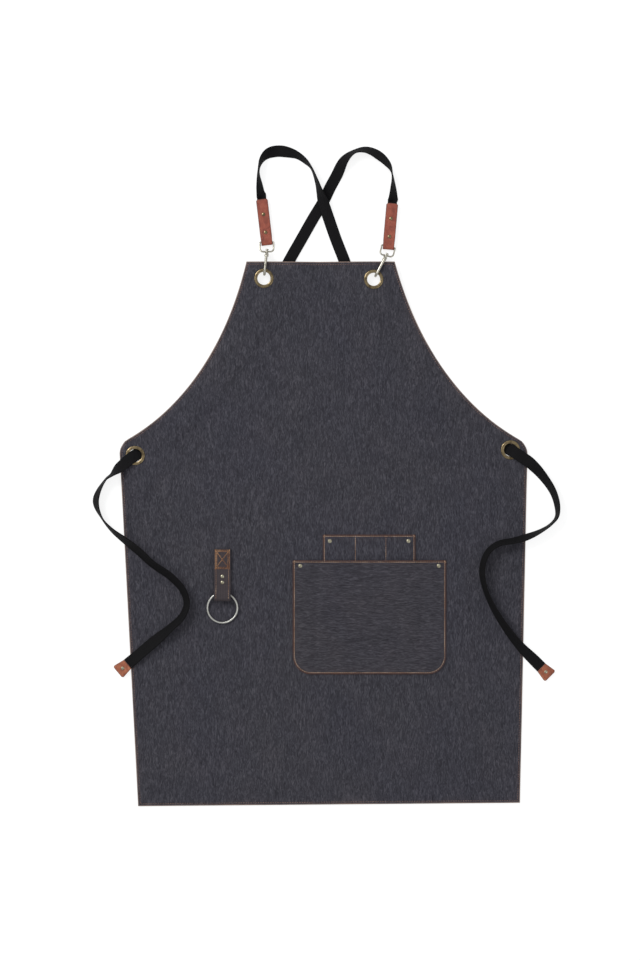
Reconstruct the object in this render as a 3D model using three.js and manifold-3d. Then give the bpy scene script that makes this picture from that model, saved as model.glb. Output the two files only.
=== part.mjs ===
// Cross-back work apron, laid flat on its back: a cloth panel with patch pockets, a tool loop with a
// ring, and two webbing straps that clip to the bib with swivel snap hooks and run through grommets.
// Millimetres. +X to the right and +Y towards the bib of the apron as it lies, +Z up out of its front.
import * as THREE from 'three';
import { mergeVertices } from 'three/addons/utils/BufferGeometryUtils.js';
import Module from 'manifold-3d';

const wasm = await Module();
wasm.setup();

// ---- Panel ----
const PANEL_HEIGHT = 804;        // hem to bib edge
const BIB_HALF = 109.3;          // half the width of the bib edge
const WAIST_HALF = 301;          // half the width at the waist corners, the widest place
const HEM_HALF = 282;            // half the width of the bottom hem
const WAIST_Y = 530;             // height of the waist corners
const WAIST_ROUND = 9;           // how far each waist corner is rounded back
const LEAN = 0.0155;             // sideways drift of the centre line per mm of height, as it lies
const HEM_RISE = 5;              // the bottom hem lies this much higher on its right
const CLOTH = 1.4;               // thickness of the waxed cloth
const HEM_FOLD = 1.0;            // extra thickness turned under along the hem
const HEM_WIDTH = 12;
const ARMHOLE_NECK_DROP = 103;   // pull of the armhole curve below the bib corner
const ARMHOLE_NECK_OUT = 26;
const ARMHOLE_WAIST_IN = 108;    // pull of the armhole curve inside the waist corner
const ARMHOLE_WAIST_RISE = 65;

const FIT = 0.3;                 // gap between pieces that touch

// ---- Grommets ----
const HOLE_R = 9.6;              // clear hole of a grommet
const BARREL_WALL = 0.8;
const FLANGE_R = 14.2;
const FLANGE_RISE = 0.9;
const FLANGE_LIP = 0.3;          // share of the rise left at the hole's edge
const WASHER_R = 13.4;
const WASHER_THICK = 0.8;
// Set in from the panel's corners, each as it was hand sewn.
const GROMMETS = {
  bib_left: { x: -(BIB_HALF - 25.3), y: PANEL_HEIGHT - 24.8 },
  bib_right: { x: BIB_HALF - 31.5, y: PANEL_HEIGHT - 26.3 },
  waist_left: { x: -(WAIST_HALF - 22.8), y: WAIST_Y - 12 },
  waist_right: { x: WAIST_HALF - 25, y: WAIST_Y - 3.8 },
};

// ---- Pockets ----
const POCKET_DEPTH = 4.7;        // clear space inside a pocket
const POCKET_WALL = 5;           // sewn margin round a pocket
const MAIN_POCKET = { left: -50.5, width: 226.5, bottom: 195, height: 168, round: 27 };
const PENCIL_POCKET = { left: -5.2, width: 136.6, bottom: 251, height: 150, cells: [48, 45] };
const POCKET_CORNER_PAD = 20;    // doubled cloth under each corner rivet
const MAIN_RIVET_IN = 11;
const MAIN_RIVET_DOWN = 8;
const PENCIL_RIVET_IN = 10.2;
const PENCIL_RIVET_DOWN = 9.3;

// ---- Rivets ----
const RIVET_POST_R = 1.5;
const RIVET_BACK_THICK = 0.7;
const POCKET_RIVET_R = 2.9;
const POCKET_RIVET_RISE = 1.3;
const SMALL_RIVET_R = 2.9;
const SMALL_RIVET_RISE = 1.3;
const POST_CLEARANCE = 0.3;

// ---- Tool loop and ring ----
const LOOP_WIDTH = 25;
const LOOP_PLY = 1.5;
const LOOP_CENTRE_X = -151.6;
const LOOP_TOP_Y = 380;
const LOOP_END_Y = 303;
const LOOP_RIVETS_Y = [339.5, 330.6];
const RING_MEAN_R = 21.9;
const RING_WIRE_R = 1.6;
const RING_PLAY = 0.3;           // clearance round the ring's wire in the fold of the loop

// ---- Webbing ----
const WEBBING_WIDTH = 17;
const WEBBING_THICK = 1.6;
const WEBBING_IN_GROMMET = 15.4; // the webbing curls to this width to pass a grommet
const WEBBING_IN_TAB = 14;       // and to this width between the layers of its tab
const WEBBING_TUCK = 28;         // length held inside the leather tab
const TAB_EXIT = 3;              // the webbing stays flat this far past the tab
const CLIMB_REACH = 8;           // half the length of its climb through a grommet

// ---- Leather tabs, eyes and hooks ----
const LEATHER = 1.9;
const TAB_LENGTH = 68.5;
const TAB_WIDTH = 17.2;
const TAB_FOLD_WIDTH = 16.6;
const TAB_RIVETS_DOWN = [22.7, 49.4];
const TAB_CORNER = 2.5;
const EYE_WIRE_R = 1.1;
const EYE_INSIDE_WIDTH = 17.8;
const EYE_HEIGHT = 15;           // between the centres of its two bars
const EYE_BAR_PLAY = 1.4;        // slack of the eye's bar along the fold of the tab
const EYE_CORNER = 3.4;
const EYE_BOSS_R = 2.7;
const EYE_BOSS_LENGTH = 2.4;
const HOOK_REACH = 39.6;         // grommet centre to the eye's lower bar
const HOOK_WIRE_R = 2.0;
const HOOK_LOOP_R = 6.0;         // half the distance between spine and gate
const HOOK_AXIS_Z = HOOK_LOOP_R + HOOK_WIRE_R + 0.2;
const HOOK_NOSE = 3.2;
const SHOULDER_WIDTH = 6;
const SHOULDER_LENGTH = 4.6;
const SWIVEL_R = 1.2;
const SWIVEL_PLAY = 0.65;
const SWIVEL_HEAD_R = 2.5;
const SWIVEL_HEAD_LENGTH = 1.6;
const GATE_WIDTH = 2.0;
const GATE_THICK = 2.6;
const GATE_PIN_R = 0.7;
const GATE_PLAY = 0.3;
const SPRING_WIDTH = 0.9;
// Plan angles, clockwise from the bib's direction, of each hook, eye and tab as they lie.
const HANGERS = {
  left: { hook: 6.4, eye: -1, tab: -6.7 },
  right: { hook: 28, eye: 14, tab: 5 },
};

// ---- Leather tips ----
const TIP_LENGTH = 19;
const TIP_NECK = 16.6;
const TIP_END = 22;
const TIP_THICK = 3.4;
const TIP_CORNER = 4.5;

const SMOOTH = 20;               // facets round a turned piece
const COARSE = 12;
const BAR_SIDES = 5;             // half the facets round a swept bar

// Height of the cloth's underside along the panel: flat on its hem, then lifted by the webbing at the
// waist grommets and by the hooks at the bib, where the flange stays just below the hook's spine.
const SKIRT_LIFT = HEM_FOLD;
const WAIST_LIFT = 4.2;
const BIB_LIFT = HOOK_AXIS_Z + HOOK_LOOP_R - HOOK_WIRE_R - 2 * FIT - FLANGE_RISE - CLOTH;
const LIFT_STEPS = [
  [0, SKIRT_LIFT], [WAIST_Y - 110, SKIRT_LIFT], [WAIST_Y - 35, WAIST_LIFT], [WAIST_Y + 30, WAIST_LIFT],
  [PANEL_HEIGHT - 59, BIB_LIFT]];

const brass = new THREE.MeshStandardMaterial({ color: 0x9c7440, roughness: 0.38, metalness: 1 });
const nickel = new THREE.MeshStandardMaterial({ color: 0xb9b6b0, roughness: 0.25, metalness: 1 });
const leather = new THREE.MeshStandardMaterial({ color: 0x7d4a38, roughness: 0.6, metalness: 0 });
const waxedCloth = new THREE.MeshStandardMaterial({ color: 0x444248, roughness: 0.85, metalness: 0 });
const loopWebbing = new THREE.MeshStandardMaterial({ color: 0x4c4646, roughness: 0.85, metalness: 0 });
const blackWebbing = new THREE.MeshStandardMaterial({ color: 0x1d1c1e, roughness: 0.8, metalness: 0 });
const springSteel = new THREE.MeshStandardMaterial({ color: 0x8d8f92, roughness: 0.35, metalness: 1 });

const apron = new THREE.Group();

const rad = THREE.MathUtils.degToRad;
const leanAt = (y) => (WAIST_Y - y) * LEAN;

function liftAt(y) {
  const last = LIFT_STEPS[LIFT_STEPS.length - 1];
  if (y >= last[0]) return last[1];
  const i = LIFT_STEPS.findIndex(([stepY]) => stepY > y);
  const [y0, z0] = LIFT_STEPS[i - 1];
  const [y1, z1] = LIFT_STEPS[i];
  return z0 + ((z1 - z0) * (y - y0)) / (y1 - y0);
}

// ---- Solids ----
function solid(geometry) {
  const bare = geometry.clone();
  bare.deleteAttribute('normal');
  bare.deleteAttribute('uv');
  const welded = mergeVertices(bare, 1e-4);
  return new wasm.Manifold(new wasm.Mesh({
    numProp: 3,
    vertProperties: new Float32Array(welded.attributes.position.array),
    triVerts: new Uint32Array(welded.index.array),
  }));
}

function shell(manifold) {
  const { vertProperties, triVerts, numProp } = manifold.getMesh();
  const count = vertProperties.length / numProp;
  const points = new Float32Array(count * 3);
  for (let i = 0; i < count; i += 1) {
    for (let k = 0; k < 3; k += 1) points[3 * i + k] = vertProperties[numProp * i + k];
  }
  const geometry = new THREE.BufferGeometry();
  geometry.setAttribute('position', new THREE.BufferAttribute(points, 3));
  geometry.setIndex(new THREE.BufferAttribute(new Uint32Array(triVerts), 1));
  geometry.computeVertexNormals();
  return geometry;
}

const join = (...solids) => solids.reduce((whole, next) => whole.add(next));
const cut = (body, ...tools) => tools.reduce((rest, tool) => rest.subtract(tool), body);

function add(name, geometry, material, parent = apron) {
  const mesh = new THREE.Mesh(geometry, material);
  mesh.name = name;
  parent.add(mesh);
  return mesh;
}

// A flat outline in X and Y raised from z0 to z1.
function plate(shape, z0, z1, curveSegments = 8) {
  const geometry = new THREE.ExtrudeGeometry(shape, { depth: z1 - z0, bevelEnabled: false, curveSegments });
  return geometry.translate(0, 0, z0);
}

// A side outline drawn in Y and Z, given a width along X and centred on x = 0.
function sideProfile(shape, width, curveSegments = 8) {
  const geometry = new THREE.ExtrudeGeometry(shape, { depth: width, bevelEnabled: false, curveSegments });
  geometry.translate(0, 0, -width / 2);
  return geometry.applyMatrix4(new THREE.Matrix4().makeBasis(
    new THREE.Vector3(0, 1, 0), new THREE.Vector3(0, 0, 1), new THREE.Vector3(1, 0, 0)));
}

// A turned piece about Z from [radius, z] points that run up its outside and close on themselves.
function turned(points, segments = SMOOTH) {
  const profile = points.map(([r, z]) => new THREE.Vector2(r, z));
  return new THREE.LatheGeometry(profile, segments).rotateX(Math.PI / 2);
}

function rodZ(radius, z0, z1, segments = COARSE) {
  return new THREE.CylinderGeometry(radius, radius, z1 - z0, segments)
    .rotateX(Math.PI / 2).translate(0, 0, (z0 + z1) / 2);
}

function rodX(radius, length, segments = COARSE) {
  return new THREE.CylinderGeometry(radius, radius, length, segments).rotateZ(Math.PI / 2);
}

function rodY(radius, y0, y1, segments = COARSE) {
  return new THREE.CylinderGeometry(radius, radius, y1 - y0, segments).translate(0, (y0 + y1) / 2, 0);
}

function box(width, length, height, x, y, z) {
  return new THREE.BoxGeometry(width, length, height).translate(x, y, z);
}

function roundedPanel(left, bottom, width, height, round) {
  const shape = new THREE.Shape();
  shape.moveTo(left, bottom + height);
  shape.lineTo(left, bottom + round);
  shape.absarc(left + round, bottom + round, round, Math.PI, 1.5 * Math.PI, false);
  shape.lineTo(left + width - round, bottom);
  shape.absarc(left + width - round, bottom + round, round, 1.5 * Math.PI, 2 * Math.PI, false);
  shape.lineTo(left + width, bottom + height);
  shape.closePath();
  return shape;
}

// A round bar swept along a smooth open path.
function bar(path, radius, steps) {
  const section = new THREE.Shape().absarc(0, 0, radius, 0, 2 * Math.PI, false);
  return new THREE.ExtrudeGeometry(section, {
    steps, extrudePath: path, bevelEnabled: false, curveSegments: BAR_SIDES });
}

// ---- Panel and its hem ----
function panelOutline(inset) {
  const at = (u, y) => [u + leanAt(y), y];
  const shape = new THREE.Shape();
  const bib = BIB_HALF - inset;
  const waist = WAIST_HALF - inset;
  const hem = HEM_HALF - inset;
  const top = PANEL_HEIGHT - inset;
  const neckDrop = PANEL_HEIGHT - ARMHOLE_NECK_DROP;
  const armY = WAIST_Y + WAIST_ROUND + 1 - inset;
  const sideY = WAIST_Y - WAIST_ROUND;
  shape.moveTo(...at(-bib, top));
  shape.bezierCurveTo(...at(-bib - ARMHOLE_NECK_OUT, neckDrop),
    ...at(-waist + ARMHOLE_WAIST_IN, WAIST_Y + ARMHOLE_WAIST_RISE), ...at(-waist + WAIST_ROUND, armY));
  shape.quadraticCurveTo(...at(-waist, WAIST_Y), ...at(-waist, sideY));
  shape.lineTo(...at(-hem, inset));
  shape.lineTo(...at(hem, inset + HEM_RISE));
  shape.lineTo(...at(waist, sideY));
  shape.quadraticCurveTo(...at(waist, WAIST_Y), ...at(waist - WAIST_ROUND, armY));
  shape.bezierCurveTo(...at(waist - ARMHOLE_WAIST_IN, WAIST_Y + ARMHOLE_WAIST_RISE),
    ...at(bib + ARMHOLE_NECK_OUT, neckDrop), ...at(bib, top));
  shape.closePath();
  return shape;
}

function liftedSlab() {
  const far = PANEL_HEIGHT + HEM_WIDTH;
  const under = [...LIFT_STEPS.map(([y, z]) => [y === 0 ? -HEM_WIDTH : y, z]), [far, BIB_LIFT]];
  const shape = new THREE.Shape();
  under.forEach(([y, z], i) => (i ? shape.lineTo(y, z) : shape.moveTo(y, z)));
  under.reverse().forEach(([y, z]) => shape.lineTo(y, z + CLOTH));
  shape.closePath();
  return solid(sideProfile(shape, 3 * WAIST_HALF));
}

const grommetPlaces = Object.entries(GROMMETS).map(([name, { x, y }]) => (
  { name, x: x + leanAt(y), y, lift: liftAt(y) }));

// ---- Rivet places: x, y, top of the plies, underside of the plies ----
const pocketTops = {
  panel: SKIRT_LIFT + CLOTH,
  pencil: SKIRT_LIFT + 2 * CLOTH + FIT + POCKET_DEPTH,
  main: SKIRT_LIFT + 3 * CLOTH + 2 * FIT + 2 * POCKET_DEPTH,
};
const loopX = LOOP_CENTRE_X + leanAt(LOOP_TOP_Y);
const mainLeft = MAIN_POCKET.left + leanAt(MAIN_POCKET.bottom);
const pencilLeft = PENCIL_POCKET.left + leanAt(PENCIL_POCKET.bottom);
const mainTop = MAIN_POCKET.bottom + MAIN_POCKET.height;
const pencilTop = PENCIL_POCKET.bottom + PENCIL_POCKET.height;
const loopTopZ = pocketTops.panel + 2 * FIT + 2 * LOOP_PLY;

const cornerRivets = (left, width, top, inward, down) => [
  { x: left + inward, y: top - down },
  { x: left + width - inward, y: top - down },
];
const mainRivets = cornerRivets(mainLeft, MAIN_POCKET.width, mainTop, MAIN_RIVET_IN, MAIN_RIVET_DOWN);
const pencilRivets = cornerRivets(
  pencilLeft, PENCIL_POCKET.width, pencilTop, PENCIL_RIVET_IN, PENCIL_RIVET_DOWN);
const loopRivets = LOOP_RIVETS_Y.map((y) => ({ x: loopX, y }));

const postHole = ({ x, y }) => solid(rodZ(RIVET_POST_R + POST_CLEARANCE, -5, 40).translate(x, y, 0));

function buildPanel() {
  const outline = solid(plate(panelOutline(0), 0, 40, 14));
  const cloth = outline.intersect(liftedSlab());
  const foldLine = solid(plate(panelOutline(HEM_WIDTH), -1, 40, 14));
  const skirt = solid(box(3 * WAIST_HALF, 2 * LIFT_STEPS[1][0], SKIRT_LIFT + CLOTH / 2, 0, 0,
    (SKIRT_LIFT + CLOTH / 2) / 2));
  const hem = outline.subtract(foldLine).intersect(skirt);
  const eyelets = grommetPlaces.map(({ x, y }) => (
    solid(rodZ(HOLE_R + BARREL_WALL + FIT, -5, 40, SMOOTH).translate(x, y, 0))));
  const rivets = [...mainRivets, ...pencilRivets, ...loopRivets].map(postHole);
  add('apron_panel', shell(cut(join(cloth, hem), ...eyelets, ...rivets)), waxedCloth);
}

// ---- Pockets: a front ply standing off the cloth on its sewn margin, open at the top ----
function pocket(place, left, base, depth, dividers, rivets) {
  const { width, bottom, height, round = 2 } = place;
  const roof = base + depth;
  const outer = solid(plate(roundedPanel(left, bottom, width, height, round), base, roof + CLOTH));
  const inner = roundedPanel(left + POCKET_WALL, bottom + POCKET_WALL, width - 2 * POCKET_WALL,
    height, Math.max(round - POCKET_WALL, 1));
  let hollow = solid(plate(inner, base - 1, roof));
  const top = bottom + height;
  const pads = [left, left + width].map((x) => (
    box(2 * POCKET_CORNER_PAD, POCKET_CORNER_PAD, 60, x, top - POCKET_CORNER_PAD / 2, 20)));
  const ribs = dividers.map((x) => box(2, height + 10, 60, x, bottom + height / 2, 20));
  hollow = cut(hollow, ...[...pads, ...ribs].map(solid));
  return cut(outer, hollow, ...rivets.map(postHole));
}

function buildPockets() {
  const base = pocketTops.panel + FIT;
  const dividers = [];
  let x = pencilLeft;
  for (const cell of PENCIL_POCKET.cells) {
    x += cell;
    dividers.push(x);
  }
  const pencil = pocket(PENCIL_POCKET, pencilLeft, base, POCKET_DEPTH, dividers, pencilRivets);
  add('pencil_pocket', shell(pencil), waxedCloth);
  const mainDepth = pocketTops.main - CLOTH - base;
  const main = pocket(MAIN_POCKET, mainLeft, base, mainDepth, [], mainRivets);
  add('main_pocket', shell(main), waxedCloth);
}

// ---- Grommets: a front eyelet with its barrel, and a back washer ----
function buildGrommets() {
  for (const { name, x, y, lift } of grommetPlaces) {
    const top = lift + CLOTH + FIT;
    const low = lift - FIT - WASHER_THICK;
    const barrelR = HOLE_R + BARREL_WALL;
    const eyelet = turned([
      [HOLE_R, low], [barrelR, low], [barrelR, top],
      [FLANGE_R, top], [FLANGE_R - 0.3, top + 0.5 * FLANGE_RISE],
      [(barrelR + FLANGE_R) / 2, top + FLANGE_RISE], [barrelR, top + 0.8 * FLANGE_RISE],
      [HOLE_R, top + FLANGE_LIP * FLANGE_RISE], [HOLE_R, low]]);
    add(`grommet_${name}_eyelet`, eyelet, brass).position.set(x, y, 0);
    const bore = barrelR + FIT;
    const washer = turned([
      [bore, low], [WASHER_R - 0.5, low], [WASHER_R, low + WASHER_THICK / 2],
      [WASHER_R, low + WASHER_THICK], [bore, low + WASHER_THICK], [bore, low]]);
    add(`grommet_${name}_washer`, washer, brass).position.set(x, y, 0);
  }
}

// ---- Rivets: a domed cap with its post, and a back that the post ends in ----
function rivet(name, radius, rise, top, under, parent, x, y) {
  const seat = top + FIT;
  const tipZ = under - 0.45;
  const cap = turned([
    [0, tipZ], [RIVET_POST_R, tipZ], [RIVET_POST_R, seat], [radius, seat],
    [radius, seat + 0.3 * rise], [0.75 * radius, seat + 0.82 * rise], [0.35 * radius, seat + rise],
    [0, seat + rise]], COARSE);
  const low = under - FIT - RIVET_BACK_THICK;
  const hollowR = RIVET_POST_R + POST_CLEARANCE;
  const back = turned([
    [0, low], [0.9 * radius, low], [radius, low + 0.3], [radius, low + RIVET_BACK_THICK],
    [hollowR, low + RIVET_BACK_THICK], [hollowR, low + 0.25], [0, low + 0.25]], COARSE);
  for (const [part, geometry] of [['cap', cap], ['back', back]]) {
    add(`${name}_${part}`, geometry, brass, parent).position.set(x, y, 0);
  }
}

function buildPocketRivets() {
  const rows = [
    ['main_pocket_rivet', mainRivets, pocketTops.main, POCKET_RIVET_R, POCKET_RIVET_RISE],
    ['pencil_pocket_rivet', pencilRivets, pocketTops.pencil, POCKET_RIVET_R, POCKET_RIVET_RISE],
  ];
  for (const [name, places, top, radius, rise] of rows) {
    places.forEach(({ x, y }, i) => {
      rivet(`${name}_${i ? 'right' : 'left'}`, radius, rise, top, SKIRT_LIFT, apron, x, y);
    });
  }
  loopRivets.forEach(({ x, y }, i) => {
    const name = `tool_loop_rivet_${i ? 'lower' : 'upper'}`;
    rivet(name, SMALL_RIVET_R, SMALL_RIVET_RISE, loopTopZ, SKIRT_LIFT, apron, x, y);
  });
}

// ---- Tool loop: webbing folded round the ring, its two ends sewn together at the top ----
const loopBase = pocketTops.panel + FIT;
const ringSag = RING_MEAN_R - Math.sqrt(RING_MEAN_R ** 2 - (LOOP_WIDTH / 2) ** 2);
const foldR = ringSag / 2 + RING_WIRE_R + RING_PLAY;
const foldZ = loopBase + LOOP_PLY + foldR;
const foldY = LOOP_END_Y + LOOP_PLY + foldR;
const ringPivotY = foldY + 4.6;
const ringFar = 2 * RING_MEAN_R - ringSag / 2;
const ringRest = Math.asin((foldZ - pocketTops.panel - FIT - RING_WIRE_R) / ringFar);

function buildToolLoop() {
  const straightEnd = ringPivotY + foldR;
  const pressedY = Math.min(...LOOP_RIVETS_Y) - SMALL_RIVET_R - 1.6;
  const slotTop = loopBase + LOOP_PLY + FIT;
  const outer = foldR + LOOP_PLY;
  const shape = new THREE.Shape();
  shape.moveTo(LOOP_TOP_Y, loopBase);
  shape.lineTo(foldY, loopBase);
  shape.absarc(foldY, foldZ, outer, 1.5 * Math.PI, 0.5 * Math.PI, true);
  shape.lineTo(straightEnd + 0.4, foldZ + outer);
  shape.lineTo(pressedY + 0.8, slotTop + LOOP_PLY);
  shape.lineTo(LOOP_TOP_Y, slotTop + LOOP_PLY);
  shape.lineTo(LOOP_TOP_Y, slotTop);
  shape.lineTo(pressedY, slotTop);
  shape.lineTo(straightEnd, foldZ + foldR);
  shape.lineTo(foldY, foldZ + foldR);
  shape.absarc(foldY, foldZ, foldR, 0.5 * Math.PI, 1.5 * Math.PI, false);
  shape.lineTo(LOOP_TOP_Y, loopBase + LOOP_PLY);
  shape.closePath();
  const strip = solid(sideProfile(shape, LOOP_WIDTH).translate(loopX, 0, 0));
  add('tool_loop', shell(cut(strip, ...loopRivets.map(postHole))), loopWebbing);

  const hinge = new THREE.Group();
  hinge.position.set(loopX, ringPivotY, foldZ);
  hinge.rotation.x = ringRest;
  apron.add(hinge);
  const ring = new THREE.TorusGeometry(RING_MEAN_R, RING_WIRE_R, 8, 36);
  add('tool_ring', ring, nickel, hinge).position.y = ringSag / 2 - RING_MEAN_R;
}

// ---- Hangers: tab, eye and hook, chained from the bib grommet up to the webbing ----
const along = (angle, length) => new THREE.Vector3(
  Math.sin(rad(angle)) * length, Math.cos(rad(angle)) * length, 0);

const tabGapHalf = WEBBING_THICK / 2 + FIT;
const foldGapHalf = EYE_WIRE_R + FIT;
const tabHalf = tabGapHalf + LEATHER;
const tabFoldHalf = foldGapHalf + LEATHER;
const TAB_Z = RIVET_BACK_THICK + FIT + tabHalf;
const eyePitch = Math.asin((HOOK_AXIS_Z - TAB_Z) / EYE_HEIGHT);
const barSlot = EYE_BAR_PLAY + EYE_WIRE_R + FIT;   // half length of the room for the eye's bar
const eyeTilts = Object.values(HANGERS).map(({ hook, eye }) => (
  Math.acos(Math.cos(rad(hook - eye)) * Math.cos(eyePitch))));
// The tilted boss of the eye reaches this far along the hook's swivel on either side.
const bossReach = EYE_BOSS_LENGTH / 2 + EYE_BOSS_R * Math.sin(Math.max(...eyeTilts));

function hangerPlaces(side) {
  const angles = HANGERS[side];
  const grommet = grommetPlaces.find(({ name }) => name === `bib_${side}`);
  const hole = new THREE.Vector3(grommet.x, grommet.y, 0);
  const eyeLow = hole.clone().add(along(angles.hook, HOOK_REACH));
  const eyeHigh = eyeLow.clone().add(along(angles.eye, EYE_HEIGHT * Math.cos(eyePitch)));
  const tabTop = eyeHigh.clone().add(along(angles.tab, TAB_LENGTH - barSlot - LEATHER));
  return { angles, hole, eyeLow, eyeHigh, tabTop };
}

// The tab's frame: y = 0 at the eye's bar, +y towards the webbing.
function tabGeometry() {
  const top = TAB_LENGTH - barSlot - LEATHER;
  const turnY = -barSlot + foldGapHalf;
  const rampStart = barSlot + 1.5;
  const rampEnd = rampStart + 3;
  const side = new THREE.Shape();
  side.moveTo(top, -tabHalf);
  side.lineTo(rampEnd, -tabHalf);
  side.lineTo(rampStart, -tabFoldHalf);
  side.lineTo(turnY, -tabFoldHalf);
  side.absarc(turnY, 0, tabFoldHalf, 1.5 * Math.PI, 0.5 * Math.PI, true);
  side.lineTo(rampStart, tabFoldHalf);
  side.lineTo(rampEnd, tabHalf);
  side.lineTo(top, tabHalf);
  side.lineTo(top, tabGapHalf);
  side.lineTo(rampEnd, tabGapHalf);
  side.lineTo(rampStart, foldGapHalf);
  side.lineTo(turnY, foldGapHalf);
  side.absarc(turnY, 0, foldGapHalf, 0.5 * Math.PI, 1.5 * Math.PI, false);
  side.lineTo(rampStart, -foldGapHalf);
  side.lineTo(rampEnd, -tabGapHalf);
  side.lineTo(top, -tabGapHalf);
  side.closePath();
  const end = -barSlot - LEATHER;
  const half = TAB_WIDTH / 2;
  const plan = new THREE.Shape();
  plan.moveTo(-TAB_FOLD_WIDTH / 2, end - 1);
  plan.lineTo(TAB_FOLD_WIDTH / 2, end - 1);
  plan.lineTo(TAB_FOLD_WIDTH / 2, barSlot);
  plan.lineTo(half, barSlot + 8);
  plan.lineTo(half, top - TAB_CORNER);
  plan.absarc(half - TAB_CORNER, top - TAB_CORNER, TAB_CORNER, 0, 0.5 * Math.PI, false);
  plan.absarc(TAB_CORNER - half, top - TAB_CORNER, TAB_CORNER, 0.5 * Math.PI, Math.PI, false);
  plan.lineTo(-half, barSlot + 8);
  plan.lineTo(-TAB_FOLD_WIDTH / 2, barSlot);
  plan.closePath();
  const strip = solid(sideProfile(side, TAB_WIDTH + 2)).intersect(solid(plate(plan, -10, 10)));
  const holes = TAB_RIVETS_DOWN.map((down) => (
    solid(rodZ(RIVET_POST_R + POST_CLEARANCE, -10, 10).translate(0, top - down, 0))));
  return shell(cut(strip, ...holes));
}

// The eye's frame: y = 0 at its lower bar, which carries the swivel boss, and y = EYE_HEIGHT at the
// bar in the tab's fold.
function eyeGeometry() {
  const half = EYE_INSIDE_WIDTH / 2 + EYE_WIRE_R;
  const path = new THREE.CurvePath();
  const point = (x, y) => new THREE.Vector3(x, y, 0);
  const line = (...ends) => path.add(new THREE.LineCurve3(...ends));
  const bend = (...points) => path.add(new THREE.QuadraticBezierCurve3(...points));
  const c = EYE_CORNER;
  line(point(0, 0), point(half - c, 0));
  bend(point(half - c, 0), point(half, 0), point(half, c));
  line(point(half, c), point(half, EYE_HEIGHT));
  const sideBar = solid(bar(path, EYE_WIRE_R, 14));
  const mirrored = sideBar.mirror([1, 0, 0]);
  const topBar = solid(rodX(EYE_WIRE_R, 2 * half).translate(0, EYE_HEIGHT, 0));
  const ball = (x) => solid(new THREE.SphereGeometry(EYE_WIRE_R, 8, 6).translate(x, EYE_HEIGHT, 0));
  const boss = solid(rodY(EYE_BOSS_R, -EYE_BOSS_LENGTH / 2, EYE_BOSS_LENGTH / 2, SMOOTH));
  const hole = solid(rodY(SWIVEL_R + SWIVEL_PLAY, -EYE_BOSS_LENGTH, EYE_BOSS_LENGTH, SMOOTH));
  return shell(cut(join(sideBar, mirrored, topBar, ball(half), ball(-half), boss), hole));
}

// The hook's frame: y = 0 at the grommet's centre, +y towards the eye, z = 0 on the swivel axis.
const lipZ = BIB_LIFT + CLOTH + FIT + FLANGE_LIP * FLANGE_RISE - HOOK_AXIS_Z;
const bowY = HOLE_R - 2 * FIT + Math.sqrt((HOOK_LOOP_R - HOOK_WIRE_R) ** 2 - lipZ ** 2);
const shoulderY = HOOK_REACH - bossReach - FIT - SHOULDER_LENGTH;
const gatePivot = new THREE.Vector3(0, shoulderY + SHOULDER_LENGTH / 2, -HOOK_LOOP_R);
const noseEnd = bowY + HOOK_NOSE;

function hookGeometry() {
  const path = new THREE.CurvePath();
  const r = HOOK_LOOP_R;
  const at = (y, z) => new THREE.Vector3(0, y, z);
  const k = 0.5523 * r;
  path.add(new THREE.LineCurve3(at(shoulderY + 1.5, r), at(bowY, r)));
  path.add(new THREE.CubicBezierCurve3(at(bowY, r), at(bowY - k, r), at(bowY - r, k), at(bowY - r, 0)));
  path.add(new THREE.CubicBezierCurve3(
    at(bowY - r, 0), at(bowY - r, -k), at(bowY - k, -r), at(bowY, -r)));
  path.add(new THREE.LineCurve3(at(bowY, -r), at(noseEnd, -r)));
  const spine = solid(bar(path, HOOK_WIRE_R, 26));
  const height = 2 * (r + HOOK_WIRE_R);
  const mid = shoulderY + SHOULDER_LENGTH / 2;
  const shoulder = solid(box(SHOULDER_WIDTH, SHOULDER_LENGTH, height - 1.2, 0, mid, 0));
  const slotWidth = GATE_WIDTH + SPRING_WIDTH + 3 * GATE_PLAY;
  const slot = solid(box(slotWidth, SHOULDER_LENGTH + 4, r + 1.5, 0, mid, -r - 0.75 + 1.5));
  const pinHole = solid(rodX(GATE_PIN_R + GATE_PLAY, 20).translate(0, gatePivot.y, gatePivot.z));
  const headStart = HOOK_REACH + bossReach + FIT;
  const post = solid(rodY(SWIVEL_R, mid, headStart + SWIVEL_HEAD_LENGTH / 2));
  const head = solid(rodY(SWIVEL_HEAD_R, headStart, headStart + SWIVEL_HEAD_LENGTH));
  return shell(join(cut(join(spine, shoulder), slot, pinHole), post, head));
}

// The gate closes against the end of the hook's nose and swings inwards about its pin.
function gateGeometry() {
  const { y, z } = gatePivot;
  const hubX = -(SPRING_WIDTH + GATE_PLAY) / 2;
  const tip = noseEnd + GATE_PLAY + 0.2;
  const hub = solid(rodX(GATE_THICK / 2 + 0.2, GATE_WIDTH, SMOOTH).translate(hubX, y, z));
  const arm = solid(box(GATE_WIDTH, y - tip, GATE_THICK, hubX, (y + tip) / 2, z));
  const pad = solid(box(GATE_WIDTH + 1.2, 5, GATE_THICK, 0, tip + 2.5, z));
  const hole = solid(rodX(GATE_PIN_R + GATE_PLAY, 20, SMOOTH).translate(0, y, z));
  return shell(cut(join(hub, arm, pad), hole));
}

function springGeometry() {
  const inner = GATE_PIN_R + GATE_PLAY;
  const outer = inner + 0.7;
  const half = SPRING_WIDTH / 2;
  return turned([[inner, -half], [outer, -half], [outer, half], [inner, half], [inner, -half]], COARSE);
}

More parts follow.
